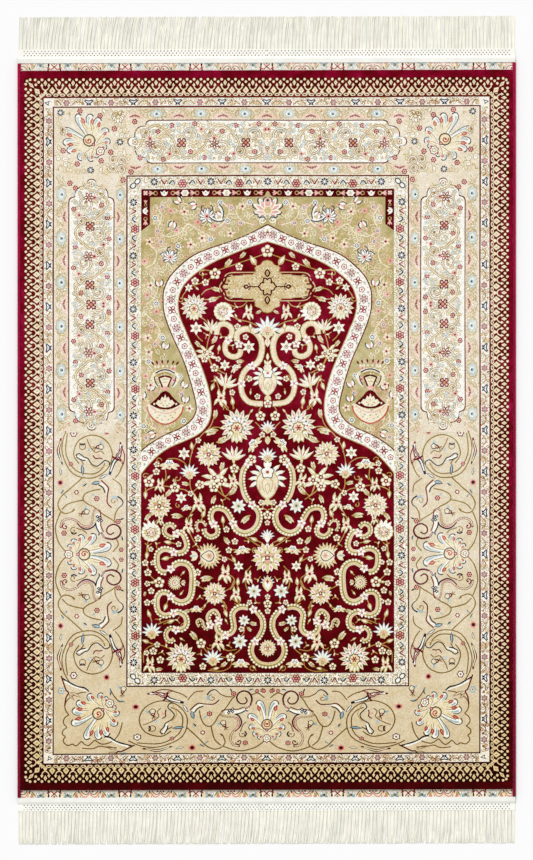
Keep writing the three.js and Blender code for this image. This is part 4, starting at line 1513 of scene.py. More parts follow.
def drop_palmette(at, r):
    """A palmette that points to the right, with a navy-rimmed drop in a ruff of feathers."""
    for i, angle in enumerate(range(34, 327, 18)):
        ray(at, angle, "ivory" if i % 2 else "cream", r, r * 0.34, 0.1, 0.7)
        ray(at, angle, "straw", r * 0.44, r * 0.1, 0.1, start=r * 0.5, steps=3)
    blob(at, "cream", r * 0.62, steps=16)
    for i, angle in enumerate(range(44, 317, 24)):
        ray(at, angle, "gold", r * 0.2, r * 0.07, start=r * 0.52, steps=3)
    for yarn, grow in (("navy", 0), ("cream", 0.06)):
        drop = [(r * (0.62 - 1.5 * grow), 0), (r * 0.3, r * (0.26 - grow)), (0, r * (0.42 - grow)),
            (r * (-0.3 + grow * 0.6), r * (0.34 - grow)), (r * (-0.46 + grow), 0)]
        drop = smooth(drop, 4)
        lay(yarn, [at(*p) for p in drop + [(u, -v) for u, v in drop[-2:0:-1]]])
    petals(inside(at, -r * 0.08, 0), "pink", 6, r * 0.26, r * 0.12, r * 0.03)
    dot(at, -r * 0.08, 0, "gold", r * 0.09, steps=6)
    for angle in (-35, 0, 35):
        leaf(inside(at, r * 0.78, 0, angle), "cream", r * 0.62, r * 0.3)
    leaf(inside(at, r * 0.85, 0), "blue", r * 0.5, r * 0.14)


def acanthus(at, r):
    """A broad leaf with a notched edge that curls at its tip."""
    for u, v, angle, length, wide in ((-0.55, -0.05, 58, 0.8, 0.42), (-0.1, 0.05, 62, 0.8, 0.4),
            (0.25, 0.2, 68, 0.6, 0.34)):
        leaf(inside(at, r * u, r * v, angle), "ivory", r * length, r * wide, -0.2)
        leaf(inside(at, r * u, r * v, angle), "white", r * length * 0.6, r * wide * 0.4, -0.2,
            start=r * 0.1, steps=3)
    leaf(at, "leafy", r * 1.8, r * 0.62, 0.2, start=-r * 0.9)
    leaf(at, "white", r * 1.3, r * 0.26, 0.22, start=-r * 0.5)
    thread(at, "ochre", [(-r * 0.8, r * 0.02), (-r * 0.1, r * 0.04), (r * 0.4, r * 0.14)], 0.9, steps=2)
    leaf(inside(at, r * 0.1, r * 0.26, 50), "navy", r * 0.34, r * 0.1, steps=3)


def bud(at, r):
    """A closed bud on a short stem, pointing right."""
    stroke(at, "stem", [(-r * 1.7, 0), (-r * 0.5, 0)], 1.5)
    for angle in (-26, 26):
        leaf(inside(at, -r * 0.8, 0, angle), "moss", r * 1.2, r * 0.5)
    leaf(inside(at, -r * 0.8, 0), "leafy", r * 2.2, r * 1.05, full=0.75)
    leaf(inside(at, -r * 0.4, 0), "white", r * 1.4, r * 0.4)
    leaf(inside(at, -r * 0.7, r * 0.2, 8), "coral", r * 0.8, r * 0.12, steps=3)


def spray(at, r):
    """A small flower among leaves that curl away from it."""
    for angle, bend in ((48, 0.55), (126, -0.5), (200, 0.55), (-34, -0.5), (262, 0.4)):
        ray(at, angle, "ivory", r * 0.92, r * 0.42, bend, 0.8, start=r * 0.12)
        ray(at, angle, "white", r * 0.5, r * 0.17, bend, 0.8, start=r * 0.3, steps=4)
        ray(at, angle + 16, "moss", r * 0.5, r * 0.08, bend, start=r * 0.3, steps=3)
    petals(at, "cream", 5, r * 0.5, r * 0.34, turn=10)
    petals(at, "pink", 5, r * 0.36, r * 0.13, r * 0.08, 46)
    blob(at, "ruby", r * 0.17, steps=6)


def cluster(at, r):
    """Three flowers on one gold stem, with a few leaves."""
    for angle, bend in ((118, 0.2), (150, 0.3), (60, -0.2), (200, -0.2), (330, 0.2)):
        ray(at, angle, "ivory", r * 1.05, r * 0.34, bend, start=r * 0.2)
        ray(at, angle, "white", r * 0.6, r * 0.13, bend, start=r * 0.5, steps=4)
    thread(at, "stem", [(r * 0.1, r * 0.5), (r * 0.16, -r * 0.2), (r * 0.4, -r * 0.9)], 1.7, steps=3)
    for u, v, s in ((-0.24, 0.2, 0.42), (0.34, -0.04, 0.42), (-0.26, -0.52, 0.4)):
        posy(inside(at, u * r, v * r), r * s)


def wing(at, r):
    """A cap of navy-veined petals between two curled leaves."""
    for side in (-1, 1):
        leaf(inside(at, side * r * 0.2, 0, 90 - side * 84), "ivory", r * 0.95, r * 0.4, side * -0.25)
        leaf(inside(at, side * r * 0.2, -r * 0.1, 90 - side * 128), "cream", r * 0.8, r * 0.32, side * 0.2)
    dot(at, 0, r * 0.14, "white", r * 0.44, 6, 0.12, 1.2)
    for angle in (150, 120, 90, 60, 30):
        leaf(inside(at, 0, -r * 0.02, angle), "navy", r * 0.34, r * 0.09, start=r * 0.16, steps=3)
    dot(at, 0, -r * 0.2, "ivory", r * 0.3, 5, 0.12)
    dot(at, 0, -r * 0.2, "coral", r * 0.11, steps=6)


def heart_palmette(at, r):
    """A tall palmette on the rug's axis: leaves with white tips round a straw-coloured bulb."""
    for angle in (196, 172, 148, 124, 56, 32, 8, -16):
        leaf(inside(at, 0, r * 0.1, angle), "ivory", r * 1.08, r * 0.4, 0.1 if angle > 90 else -0.1, 0.7)
        leaf(inside(at, 0, r * 0.1, angle), "white", r * 0.5, r * 0.2, 0.1 if angle > 90 else -0.1,
            start=r * 0.5)
        leaf(inside(at, 0, r * 0.1, angle + 11), "navy", r * 0.28, r * 0.09, start=r * 0.6, steps=3)
    bulb = smooth([(0, r * 0.5), (-r * 0.3, r * 0.5), (-r * 0.58, r * 0.2), (-r * 0.6, -r * 0.25),
        (-r * 0.36, -r * 0.75), (0, -r * 1.05)], 4)
    for yarn, share in (("gold", 1), ("cream", 0.93)):
        points = [(u * share, v * share) for u, v in bulb]
        lay(yarn, [at(*p) for p in points + [(-u, v) for u, v in points[-2:0:-1]]])
    for side in (-1, 1):
        thread(at, "straw", [(0, r * 0.3), (side * r * 0.3, -r * 0.05), (side * r * 0.16, -r * 0.6)], 1.6,
            steps=4)
        thread(at, "gold", [(0, -r * 0.1), (side * r * 0.14, -r * 0.3), (0, -r * 0.7)], 1.0, steps=4)
        leaf(inside(at, side * r * 0.42, -r * 0.1, 270), "pink", r * 0.5, r * 0.1, steps=4)
    for yarn, size in (("navy", 0.36), ("white", 0.31)):
        dot(at, 0, r * 0.52, yarn, r * size, 5, 0.16, turn=90)
    dot(at, 0, r * 0.52, "coral", r * 0.1, steps=6)
    for angle in (90, 62, 118):
        leaf(inside(at, 0, r * 0.7, angle), "white", r * 0.44, r * 0.2)
    for angle in (240, 270, 300):
        leaf(inside(at, 0, -r * 0.95, angle), "ivory", r * 0.42, r * 0.2)


# Where things grow on the left half: the stems and their curls, then the flowers by place, turn and size,
# and then those on the rug's axis
STEMS = (((-8, 282), (-22, 277), (-40, 271), (-60, 264), (-84, 257), (-104, 258), (-109, 252), (-103, 249)),
    ((-80, 252), (-92, 244), (-106, 237), (-122, 232), (-134, 220), (-137, 212)),
    ((-112, 214), (-100, 211), (-88, 212), (-74, 216)), ((-106, 218), (-98, 226), (-86, 228), (-76, 222)),
    ((-66, 205), (-52, 199), (-40, 200), (-32, 208)), ((-58, 184), (-44, 178), (-28, 174), (-16, 168)),
    ((-110, 184), (-98, 176), (-92, 160), (-96, 142), (-98, 130)), ((-120, 168), (-112, 152), (-104, 144)),
    ((-92, 112), (-84, 100), (-70, 102), (-58, 104)), ((-96, 118), (-88, 104), (-76, 96), (-68, 92)),
    ((-84, 86), (-80, 74), (-76, 60)), ((-60, 68), (-58, 52), (-54, 36)), ((-74, 46), (-66, 36), (-56, 30)),
    ((-10, 40), (-14, 32), (-12, 24)), ((-20, 14), (-12, 6), (-6, -6), (-2, -16)),
    ((-86, 24), (-92, 8), (-106, -6), (-118, -24), (-124, -44), (-125, -56)),
    ((-100, -2), (-88, 6), (-76, 6)), ((-160, -44), (-146, -44), (-134, -50), (-128, -58)),
    ((-164, -60), (-163, -74), (-168, -86)), ((-196, -98), (-192, -94), (-182, -90), (-166, -88),
    (-150, -90)), ((-124, -74), (-124, -88), (-120, -98), (-110, -112)),
    ((-146, -92), (-132, -94), (-122, -102)), ((-108, -88), (-118, -96), (-122, -104)),
    ((-84, -92), (-72, -102), (-60, -110)), ((-76, -90), (-68, -104), (-58, -94), (-54, -86)),
    ((-52, -66), (-56, -74), (-54, -84)), ((-53, -48), (-52, -56), (-44, -62)),
    ((-118, -124), (-126, -138), (-128, -150), (-124, -164), (-118, -176), (-108, -190)),
    ((-190, -138), (-192, -148), (-186, -158)), ((-176, -142), (-186, -152)),
    ((-190, -172), (-193, -186), (-194, -204), (-190, -228)), ((-78, -200), (-66, -203), (-56, -208),
    (-48, -214)), ((-190, -230), (-182, -238), (-176, -242)), ((-40, -166), (-26, -176), (-10, -186)),
    ((-40, -190), (-54, -190), (-62, -190)), ((-26, -216), (-36, -230), (-34, -250), (-28, -258)),
    ((-54, -240), (-60, -252), (-74, -258)), ((-62, -230), (-54, -236), (-54, -246), (-60, -254)),
    ((-112, -248), (-100, -254), (-90, -258)), ((-120, -286), (-106, -284), (-96, -274)),
    ((-72, -272), (-66, -282), (-68, -290)), ((-60, -266), (-50, -274), (-44, -278)),
    ((-186, -306), (-188, -298), (-192, -286)), ((-176, -310), (-164, -305), (-156, -303)),
    ((-196, -336), (-184, -342), (-170, -344), (-156, -350)), ((-199, -372), (-199, -356), (-190, -346),
    (-176, -343)), ((-104, -346), (-98, -354), (-92, -360)), ((-76, -362), (-66, -363), (-58, -362)),
    ((-58, -366), (-60, -378), (-74, -385), (-96, -384)), ((-40, -338), (-44, -350), (-54, -358)),
    ((-74, -342), (-66, -352), (-50, -350)), ((-38, -312), (-38, -322), (-44, -330)))
CURLS = ((-103, 259, 60, 1, 5), (-138, 212, 200, 1, 4.5), (-80, 87, 100, -1, 5.5), (-32, 83, 60, 1, 5),
    (-175, -47, 0, 1, 4.5), (-196, -72, 30, 1, 4.5), (-145, -75, 20, -1, 5), (-143, -119, 120, 1, 4),
    (-134, -315, 90, 1, 6), (-99, -313, 60, -1, 5), (-92, -345, 200, 1, 5), (-25, -379, 300, -1, 4.5),
    (-48, -274, 200, 1, 4.5), (-66, 36, 200, -1, 4.5), (-18, 42, 120, 1, 4.5), (-188, -392, 60, 1, 4),
    (-20, -190, 260, -1, 4.5), (-12, -218, 60, 1, 4))
FIELD = ((bud, -21.9, 271.4, 122, 8.5), (acanthus, -39, 280, 28, 8), (posy, -45.3, 263, 0, 6.4),
    (acanthus, -62, 267.2, 30, 10), (posy, -84, 252, 0, 9.4), (posy, -99.2, 238.2, 10, 6),
    (posy, -116, 240.5, 0, 6.4), (star, -126, 230, 10, 7), (acanthus, -84, 226, -35, 9),
    (acanthus, -87, 213, 175, 10), (fan, -117.6, 199, 0, 22), (half_rose, -71, 191.5, -28, 15.5),
    (spray, -30.2, 189.8, 0, 12), (acanthus, -14, 189, 10, 6), (posy, -48, 167, 0, 5.4),
    (bud, -27.4, 166, 90, 5.4), (lily, -91.4, 169, 8, 11), (star, -114.4, 165, 0, 11),
    (acanthus, -110, 140, 112, 8), (acanthus, -84, 145, 40, 9), (cluster, -97.2, 123.5, 0, 15),
    (bud, -78, 132, 80, 5), (star, -30.2, 134.6, 0, 11), (star, -68.8, 105.6, 0, 9),
    (posy, -85.4, 101.4, 0, 7), (wing, -51.5, 101, 40, 9), (acanthus, -44, 113, 170, 8),
    (lily, -66, 80.7, -14, 13.5), (bud, -88, 72.4, 250, 6), (spray, -75, 53, 0, 14),
    (bud, -56.4, 46, 95, 6.5), (acanthus, -82.4, 26.6, 65, 9), (fan, -49.5, 8, 0, 28),
    (acanthus, -90, 2, 178, 13), (posy, -11.7, 23.6, 0, 8.3), (bud, -121.6, -25, 95, 6),
    (star, -134, -35.8, 0, 10.4), (rose, -94.6, -37.2, 0, 21.4), (acanthus, -72.5, -16.5, 8, 12),
    (lily, -54.6, -36, 0, 13.5), (wing, -22, -21, 50, 13.5), (posy, -25.5, -45.5, 20, 8),
    (wing, -157.5, -54, 0, 14.5), (lotus_cup, -125, -63.5, 0, 13.6), (posy, -178.2, -64.8, 0, 6),
    (bud, -188, -73, 40, 4.6), (posy, -190, -81.4, 0, 9), (spray, -172, -87, 0, 11),
    (bud, -195.5, -100.8, 270, 6), (posy, -148.5, -90.5, 0, 8.4), (acanthus, -148, -80, 110, 5.5),
    (acanthus, -130.6, -82.8, 150, 8), (posy, -108.4, -85.6, 20, 7.6), (cluster, -80.4, -79, 0, 21),
    (acanthus, -71.8, -57.5, 55, 9), (posy, -53.2, -60, 0, 7.6), (spray, -54.6, -80, 20, 12),
    (acanthus, -54.6, -98, 30, 10), (acanthus, -87.7, -108.5, 230, 9), (daisy, -46.3, -120, 0, 12.6),
    (star, -138.2, -106.3, 0, 9.7), (wing, -129.9, -122.9, 10, 8), (spray, -110.4, -115.5, 10, 15),
    (bud, -102.9, -133.9, 70, 6.4), (rose, -173.4, -120.1, 0, 20.7), (acanthus, -158, -101, 30, 9),
    (acanthus, -192.5, -136, 215, 9), (spray, -171.3, -143, 0, 8), (acanthus, -144.4, -133.9, 160, 11),
    (spray, -126.4, -151.9, 0, 12.5), (half_rose, -186.5, -162, 100, 16), (acanthus, -35.6, -139, 205, 11),
    (bud, -71.1, -143.6, 95, 6), (posy, -65.6, -157.4, 0, 5.5), (posy, -111.2, -172, 0, 6),
    (bud, -158, -178.5, 170, 6), (bud, -162, -204, 190, 6.4), (bud, -193.1, -198, 262, 6),
    (posy, -196, -211.5, 0, 5.6), (posy, -191.8, -227, 0, 6.4), (posy, -173.8, -243, 0, 9),
    (bud, -184, -243, 180, 4), (posy, -186.6, -256.5, 0, 5.6), (acanthus, -196, -262, 60, 5),
    (posy, -193.1, -275.3, 0, 5.6), (bud, -190, -294.6, 110, 6), (drop_palmette, -148, -243.4, 0, 12),
    (acanthus, -136, -243.4, 0, 5), (posy, -113, -244.2, 0, 4.8), (posy, -183.8, -211.5, 0, 4.4),
    (posy, -183.2, -274, 0, 4.4), (drop_palmette, -94.6, -200.2, 180, 21.5), (acanthus, -67, -176, 290, 9),
    (posy, -61.8, -190.8, 0, 5.4), (posy, -52.1, -176.7, 0, 5.6), (wing, -40.3, -190.8, 10, 12),
    (bud, -20, -174, 155, 6.4), (star, -46.2, -216.7, 0, 8.8), (bud, -54, -205, 300, 5),
    (spray, -67.7, -229.3, 0, 14.5), (acanthus, -97.4, -234, 170, 12), (posy, -112.2, -226.4, 0, 6),
    (bud, -47.7, -242.7, 85, 6), (spray, -31.4, -234.5, 0, 11), (rose, -84.8, -260.5, 0, 19.6),
    (spray, -50.7, -262, 0, 12), (daisy, -21.7, -256.8, 0, 12.6), (wing, -114.5, -285.7, 0, 9.5),
    (acanthus, -129, -287.5, 175, 7), (bud, -67.7, -291, 290, 6), (bud, -163.4, -281, 250, 6),
    (bud, -156.7, -305.8, 20, 6.4), (daisy, -38, -303.5, 0, 9.6), (acanthus, -24.5, -310, 330, 8),
    (acanthus, -31, -318, 300, 6), (spray, -78.8, -338.5, 0, 14), (daisy, -44.7, -337.7, 0, 12.6),
    (acanthus, -116.5, -328, 112, 11), (posy, -107, -341, 0, 8.2), (fan, -139, -363.4, 0, 25),
    (lotus_cup, -87.8, -362.5, 0, 14.5), (posy, -59.6, -362.9, 0, 7.4), (wing, -43.2, -372.8, 0, 12.5),
    (posy, -104.1, -377.7, 0, 6), (acanthus, -70, -376, 20, 8), (lotus_cup, -185.7, -319.5, 0, 14.5),
    (bud, -194.6, -337.7, 160, 6), (posy, -183.5, -353.3, 0, 6.4), (posy, -172.3, -367.3, 0, 6.4),
    (spray, -189, -375.5, 0, 13), (acanthus, -173.8, -381, 170, 7), (bud, -84, -381, 10, 5))
AXIS = ((posy, 0, 287.9, 10.5), (lotus_cup, 0, 167, 19), (heart_palmette, 0, 80, 24), (posy, 0, 43.4, 7),
    (lotus_cup, 0, 7, 11), (lotus_cup, 0, -38, 13), (heart_palmette, 0, -81, 29), (posy, 0, -134.6, 7.4),
    (posy, 0, -147, 4.6), (lotus_cup, 0, -166, 10), (rose, 0, -203, 26), (lotus_cup, 0, -240, 10),
    (posy, 0, -276.8, 7), (posy, 0, -265.5, 4.6), (posy, 0, -288.5, 5), (rose, 0, -348.1, 14.5))
for stem in STEMS:
    stroke(rug, "stem", smooth(stem, 5), 1.45)
for x, y, turn, flip, size in CURLS:
    curl(pen(x, y, turn, 1, flip), "stem", size * 1.2, 0.75, 1.35, 10)

# The cloud bands, each in stretches that the clasps join
CLOUD_BANDS = ((1, 9.6, [(-81.5, 154.5), (-80.5, 164), (-76, 170.5), (-67.5, 171.5), (-59, 166), (-57, 156),
    (-63.3, 146), (-68, 137), (-66, 125), (-56, 119), (-45.5, 122), (-43, 131)]),
    (1, 10.5, [(-49, 144), (-49, 155), (-41, 162), (-30, 163), (-18.5, 157), (-10.5, 145), (-8.8, 130),
    (-13.5, 113), (-22, 105)]), (-1, 9.6, [(-30, 103), (-38, 94), (-42.5, 82), (-42.5, 68), (-39, 56),
    (-30, 46.5), (-16, 43.6), (-8, 43.4)]), (1, 10.5, [(-32.5, -53.8), (-38.4, -60.7), (-41.2, -73.1),
    (-40.7, -87), (-36.6, -102.2), (-29.7, -113.2)]), (1, 11.5, [(-20, -122), (-15.4, -128), (-13.1, -137),
    (-15.9, -149.1), (-24.2, -158.8), (-36.6, -163), (-47.7, -158.8), (-53, -151)]),
    (-1, 10.5, [(-56.6, -144), (-60.6, -136.7), (-67, -127.5), (-78, -123.5), (-87, -126.5),
    (-90.6, -136.7), (-87.7, -146.4)]), (1, 9.4, [(-83, -152), (-79.8, -158), (-82.2, -165.7),
    (-91.5, -168.9), (-99.6, -163), (-101, -156)]), (-1, 6, [(-98, -151.9), (-104.3, -144.6),
    (-112.2, -146), (-113.6, -154.7), (-109.6, -161)]), (-1, 9, [(-148, -156), (-155, -150), (-163.5, -154),
    (-164, -164), (-154, -170), (-146, -165)]), (1, 10.5, [(-146, -163), (-137, -164), (-131.5, -174),
    (-129.5, -184.8), (-135.2, -193.5), (-144.1, -195.2)]), (-1, 10.5,
    [(-154, -192.5), (-160, -190), (-167.9, -190.4), (-175.2, -196), (-177, -205.6), (-175.4, -217.5),
    (-170, -225), (-161.9, -226.4)]), (1, 11.5, [(-151, -217), (-146.6, -214), (-139.7, -211.4),
    (-129.8, -213.6), (-123, -221.2), (-120.8, -232.3), (-121.2, -247.2), (-123, -261), (-128.2, -270.6),
    (-138.2, -274.4), (-146.5, -271.8), (-151, -269)]), (-1, 10.5,
    [(-158.5, -261.5), (-163, -259.4), (-170.8, -260), (-176.4, -267), (-177.4, -279.8), (-174.2, -290.3),
    (-164.9, -295.6), (-156, -293.4)]), (1, 10.5, [(-147, -291), (-142, -291), (-133.4, -296.4),
    (-130.2, -305.8), (-133, -314.6), (-141.2, -319)]), (-1, 8.4,
    [(-148.6, -317), (-157.4, -317), (-163, -325), (-161, -334), (-154.5, -337), (-150.3, -333)]),
    (-1, 6, [(-109.8, -314), (-113.5, -306.5), (-109.3, -302.3), (-104.5, -306), (-103, -313.2),
    (-98.1, -317.4), (-92.5, -313.2)]), (-1, 9, [(-93, -308), (-96.2, -299.1), (-92.5, -291.6),
    (-85, -288.2), (-79.6, -294.6), (-78.8, -301)]), (1, 10.5, [(-80, -309), (-81.8, -314), (-79.5, -321),
    (-74, -325), (-66.6, -326.6), (-58.6, -323.6), (-53.9, -316.2), (-54.8, -305), (-56.2, -294),
    (-50.7, -285.6), (-41.8, -282.2), (-31.4, -283.5)]), (1, 10.5,
    [(-18, -289), (-13.6, -294.4), (-9.4, -301), (-8, -309), (-8.6, -317), (-13, -327), (-17, -333)]),
    (-1, 11, [(-23.6, -341), (-26, -346.4), (-26, -356), (-21, -366), (-12.1, -373), (0, -375.4)]))
for side, wide, points in CLOUD_BANDS:
    cloud_band(points, side, wide)
for x, y, turn in ((-63, 146, 60), (-46, 139, 20), (-25, 104, 300), (-42, 76, 180), (-31, -51.5, 120),
        (-24.5, -118, 60), (-54.6, -148, 250), (-86.3, -149, 100), (-150.2, -194.6, 20),
        (-155.3, -221.2, 60), (-155.3, -265.7, 300), (-151, -292, 340), (-146, -164.5, 80), (-23, -286, 30),
        (-20.4, -337.5, 240), (-78.8, -305, 100), (-147, -319, 120), (-92.5, -311, 10), (-68, -328, 90)):
    clasp(x, y, turn)
for motif, x, y, turn, r in FIELD:
    motif(pen(x, y, turn), r)
    taken.append((x, y, r))
for motif, x, y, r in AXIS:
    motif(pen(x, y), r)
    taken.append((x, y, r))
for angle, y, reach in ((90, 112, 13), (60, 104, 11), (120, 104, 11), (90, 100, 12), (52, 94, 11),
        (128, 94, 11)):
    leaf(pen(0, y, angle), "ivory", reach, 5)
    leaf(pen(0, y, angle), "white", reach * 0.7, 2, start=2)
leaf(pen(0, 150, -90), "cream", 16, 9)
leaf(pen(0, 148, -90), "pink", 9, 3)
leaf(pen(0, -8, -90), "ivory", 14, 9)
leaf(pen(0, -232, -90), "ivory", 26, 17)
leaf(pen(0, -236, -90), "white", 18, 10)
lay("coral", [pen(0, -241)(*p) for p in ((0, -4), (2.6, 0), (0, 4), (-2.6, 0))])
leaf(pen(0, -180, 90), "white", 16, 8)

# The golden tablet: a speckled panel in a double rim, with a small wine-red cross of leaves
TABLET = 231
for grow, yarn in ((0, "straw"), (1.5, "crimson_field"), (4.2, "straw"), (5.6, "panel")):
    w, h = 76.5 - grow, 23.6 - grow
    body = [(-40, TABLET + h), (-58, TABLET - 0.4 + h), (-67 + grow * 0.6, 227 + h),
        (-70.5 + grow, 220 + h * 0.98), (-w, 213 + h * 0.9)]
    lower = [(x, 2 * TABLET - y) for x, y in body[::-1]]
    lay(yarn, [(0, TABLET - h), (0, TABLET + h)] + smooth(body + lower, 3))
    if grow > 4:
        inset, rim = (0, "ochre") if grow < 5 else (1.5, "panel")
        lobe = smooth([(0, 274 - inset), (-7, 272 - inset), (-12 + inset, 266), (-20.5 + inset, 262),
            (-20 + inset, 254), (-25 + inset, 249), (-25 + inset, TABLET)], 4)
        lay(rim, lobe + [(x, 2 * TABLET - y) for x, y in lobe[-2::-1]])
specks = random.Random(31)
for i in range(560):
    x, y = specks.uniform(-70, 0), specks.uniform(190, 272)
    in_panel = abs(y - TABLET) < 16 and x > -62 or abs(y - TABLET) < 38 - abs(x) * 0.6 and x > -19
    if in_panel:
        blob(pen(x, y, specks.uniform(0, 90)), specks.choice(("white", "cream", "ochre", "gold")),
            specks.uniform(0.8, 1.3), steps=4)
for y in (252.5, 209.5):
    leaf(pen(0, y + 7, -90), "wine", 14, 10)
    leaf(pen(0, y + 4.4, -90), "panel", 8.8, 4.5)
    stroke(pen(0, y), "wine", [(-0.9, 0), (0.9, 0)], 1.4)
for side in (1, -1):
    at = pen(0, TABLET + side * 11, 90 * side)
    thread(at, "wine", [(-4, 6.5), (1.5, 6), (2.2, 2), (-0.6, 0)], 2.2)
    thread(at, "wine", [(-4, -6.5), (1.5, -6), (2.2, -2), (-0.6, 0)], 2.2)
at = pen(-9, TABLET, 180)
thread(at, "wine", [(-4, 6), (1.5, 5.5), (3.4, 2), (6.5, 0)], 2.2)
thread(at, "wine", [(-4, -6), (1.5, -5.5), (3.4, -2), (6.5, 0)], 2.2)
stroke(at, "wine", [(5, 0), (21, 0)], 1.7)
leaf(inside(at, 20, 0), "wine", 10, 8)
leaf(inside(at, 22.6, 0), "panel", 4, 3)
thread(rug, "wine", [(-31, 236), (-28, 234), (-28, 228), (-31, 226)], 1.4)
for side in (1, -1):
    at = pen(-66, TABLET + side * 11, 0, 1, side)
    thread(at, "wine", [(3, -7), (-4, -6), (-5.5, 1), (0, 5), (8, 5.4)], 2.6, 1.6)
    stroke(inside(at, 18, 7.6), "wine", [(-8, 0), (9, 0)], 2.4, 1.2)
    dot(at, 4, -1.5, "ochre", 2.6, steps=7)

# Small buds and tendrils take the places that are still bare
field_outline = arch_inner + [(-FRAME_SIDE, -70), (-FRAME_SIDE, -FRAME_END), (0, -FRAME_END)]
taken += [(x, TABLET, 26) for x in (0, -20, -40, -55)] + [(0, 255, 22), (0, 207, 22)]
chance = random.Random(5)


def inside_outline(x, y, outline):
    """Whether a place lies inside an outline."""
    crossings = 0
    for (a, b), (c, d) in zip(outline, outline[1:] + outline[:1]):
        if (b > y) != (d > y) and x < a + (y - b) * (c - a) / (d - b):
            crossings += 1
    return crossings % 2 == 1


for j in range(-50, 40):
    for i in range(-27, 0):
        x = (i + 0.5 + 0.5 * (j % 2)) * 7.8 + chance.uniform(-2, 2)
        y = j * 7.6 + chance.uniform(-2, 2)
        gap = min(math.hypot(x - p, y - q) - r for p, q, r in taken)
        around = all(inside_outline(x + a, y + b, field_outline) for a, b in ((-6, 0), (0, 6), (0, -6)))
        if gap < 4.4 or not around or x > -3:
            continue
        at, kind = pen(x, y, chance.uniform(0, 360)), chance.random()
        taken.append((x, y, 4))
        if kind < 0.4:
            bud(at, 3.4)
        elif kind < 0.65:
            posy(at, min(5, gap))
        else:
            thread(at, "stem", [(-5.5, -2), (-1.5, 1), (2, 0.4), (5, -2.4)], 1.5, steps=3)
            leaf(inside(at, -1, 0.6, 60), "cream", 5.5, 2.6)
YARNS.update(crimson_field=dye("760419"), panel=dye("dcc79a"))
whole = drawing[:]
split_y = -80
upper_outline = arch_inner + [(-FRAME_SIDE, -70), (-FRAME_SIDE, split_y), (0, split_y)]
drawing[:] = [(yarn, points) for yarn, points in whole if max(y for _, y in points) > split_y]
weave("pile_niche_field_upper", "crimson_field", upper_outline)
drawing[:] = [(yarn, points) for yarn, points in whole if min(y for _, y in points) < split_y]
weave("pile_niche_field_lower", "crimson_field", [(0, split_y), (-FRAME_SIDE, split_y),
    (-FRAME_SIDE, -FRAME_END), (0, -FRAME_END)])

# Between the pile and each fringe a narrow band of the ground weave shows, flat and woven with
# pairs of pale-blue flowers on either side of a peach rosette. It is part of the cloth.
BAND_OUTER, BAND_INNER = 592, 574


def band_pair(at):
    """A pair of flowers, with the red-barred rosette between them and curled leaves outside."""
    for side in (-1, 1):
        flower = inside(at, side * 21.7, 2.5)
        for u, v in ((-4.6, -2), (4.6, -2), (0, -5.6), (-4, 2.5), (4, 2.5)):
            dot(flower, u, v, "blue", 2.7, steps=8)
        dot(flower, 0, -5.5, "white", 2.2, steps=7)
        dot(flower, side * 4.6, -2.4, "white", 1.8, steps=6)
        blob(flower, "navy", 2.3, steps=8)
        dot(flower, 0.3, 0.2, "gold", 1.4, steps=6)
        lay("wine", [at(side * a, b) for a, b in ((9.2, 6), (10.6, 4), (10, 0), (11.2, -6), (8.8, -6),
            (8.4, 0), (7.4, 4))])
        dot(at, side * 5.2, 2.6, "white", 2.1, steps=7)
        dot(at, side * 14.4, 2, "cream", 3.0, steps=7)
        leaf(inside(at, side * 5, -4.5, 90 - side * 62), "coral", 9, 2.6)
        leaf(inside(at, side * 29, 5.5, 90 - side * 148), "gold", 13, 2.4, side * 0.1)
        leaf(inside(at, side * 38, -6, 90 - side * 28), "olive", 13, 3.2, side * 0.1)
        leaf(inside(at, side * 33, 6, 90 - side * 150), "straw", 9, 3.4)
        dot(at, side * 36.5, 4.5, "pink", 2.2, steps=7)
        dot(at, side * 43, 0.5, "cream", 3.6, steps=8)
        thread(at, "pink", [(side * 41, -3), (side * 46, 4.5), (side * 52, 4.4), (side * 56.9, -1)], 1.7,
            steps=3)
        thread(at, "ochre", [(side * 43, -5), (side * 48, 0.5), (side * 53, 0.5), (side * 57, -5)], 1.3,
            steps=3)
        dot(at, side * 52, -3.6, "coral", 1.7, steps=6)
    stroke(at, "coral", [(-5, 4.5), (5, -4.5)], 1.7)
    stroke(at, "coral", [(-5, -4.5), (5, 4.5)], 1.7)
    blob(at, "brick", 1.4, steps=6)
    dot(at, 0, 4.6, "gold", 1.7, steps=6)


for end, name in ((1, "head"), (-1, "foot")):
    for i in range(-4, 1):
        band_pair(pen(i * 113.6, end * 583, 0, 1, end))
    outline = [(0, end * BAND_OUTER), (-PILE_SIDE, end * BAND_OUTER), (-PILE_SIDE, end * BAND_INNER),
        (0, end * BAND_INNER)]
    weave("band_" + name, "guard_cream", outline[::end], top=2.55)

# The sides are overcast: a crimson yarn wraps the cloth's edge in a round, slanted stitch, close
# beside the last one, from one fringe to the other.
CORD_SIDE, CORD_WIDE, CORD_HIGH, CORD_CREST = 394.7, 5.2, 6.3, 2.3
CORD_END = 588.6
STITCH = 1.25


def bent(a, b, c, steps):
    """Points on a bend from a to c that leans towards b."""
    return [tuple((1 - t) ** 2 * p + 2 * t * (1 - t) * q + t * t * r for p, q, r in zip(a, b, c))
        for t in (i / steps for i in range(steps))]


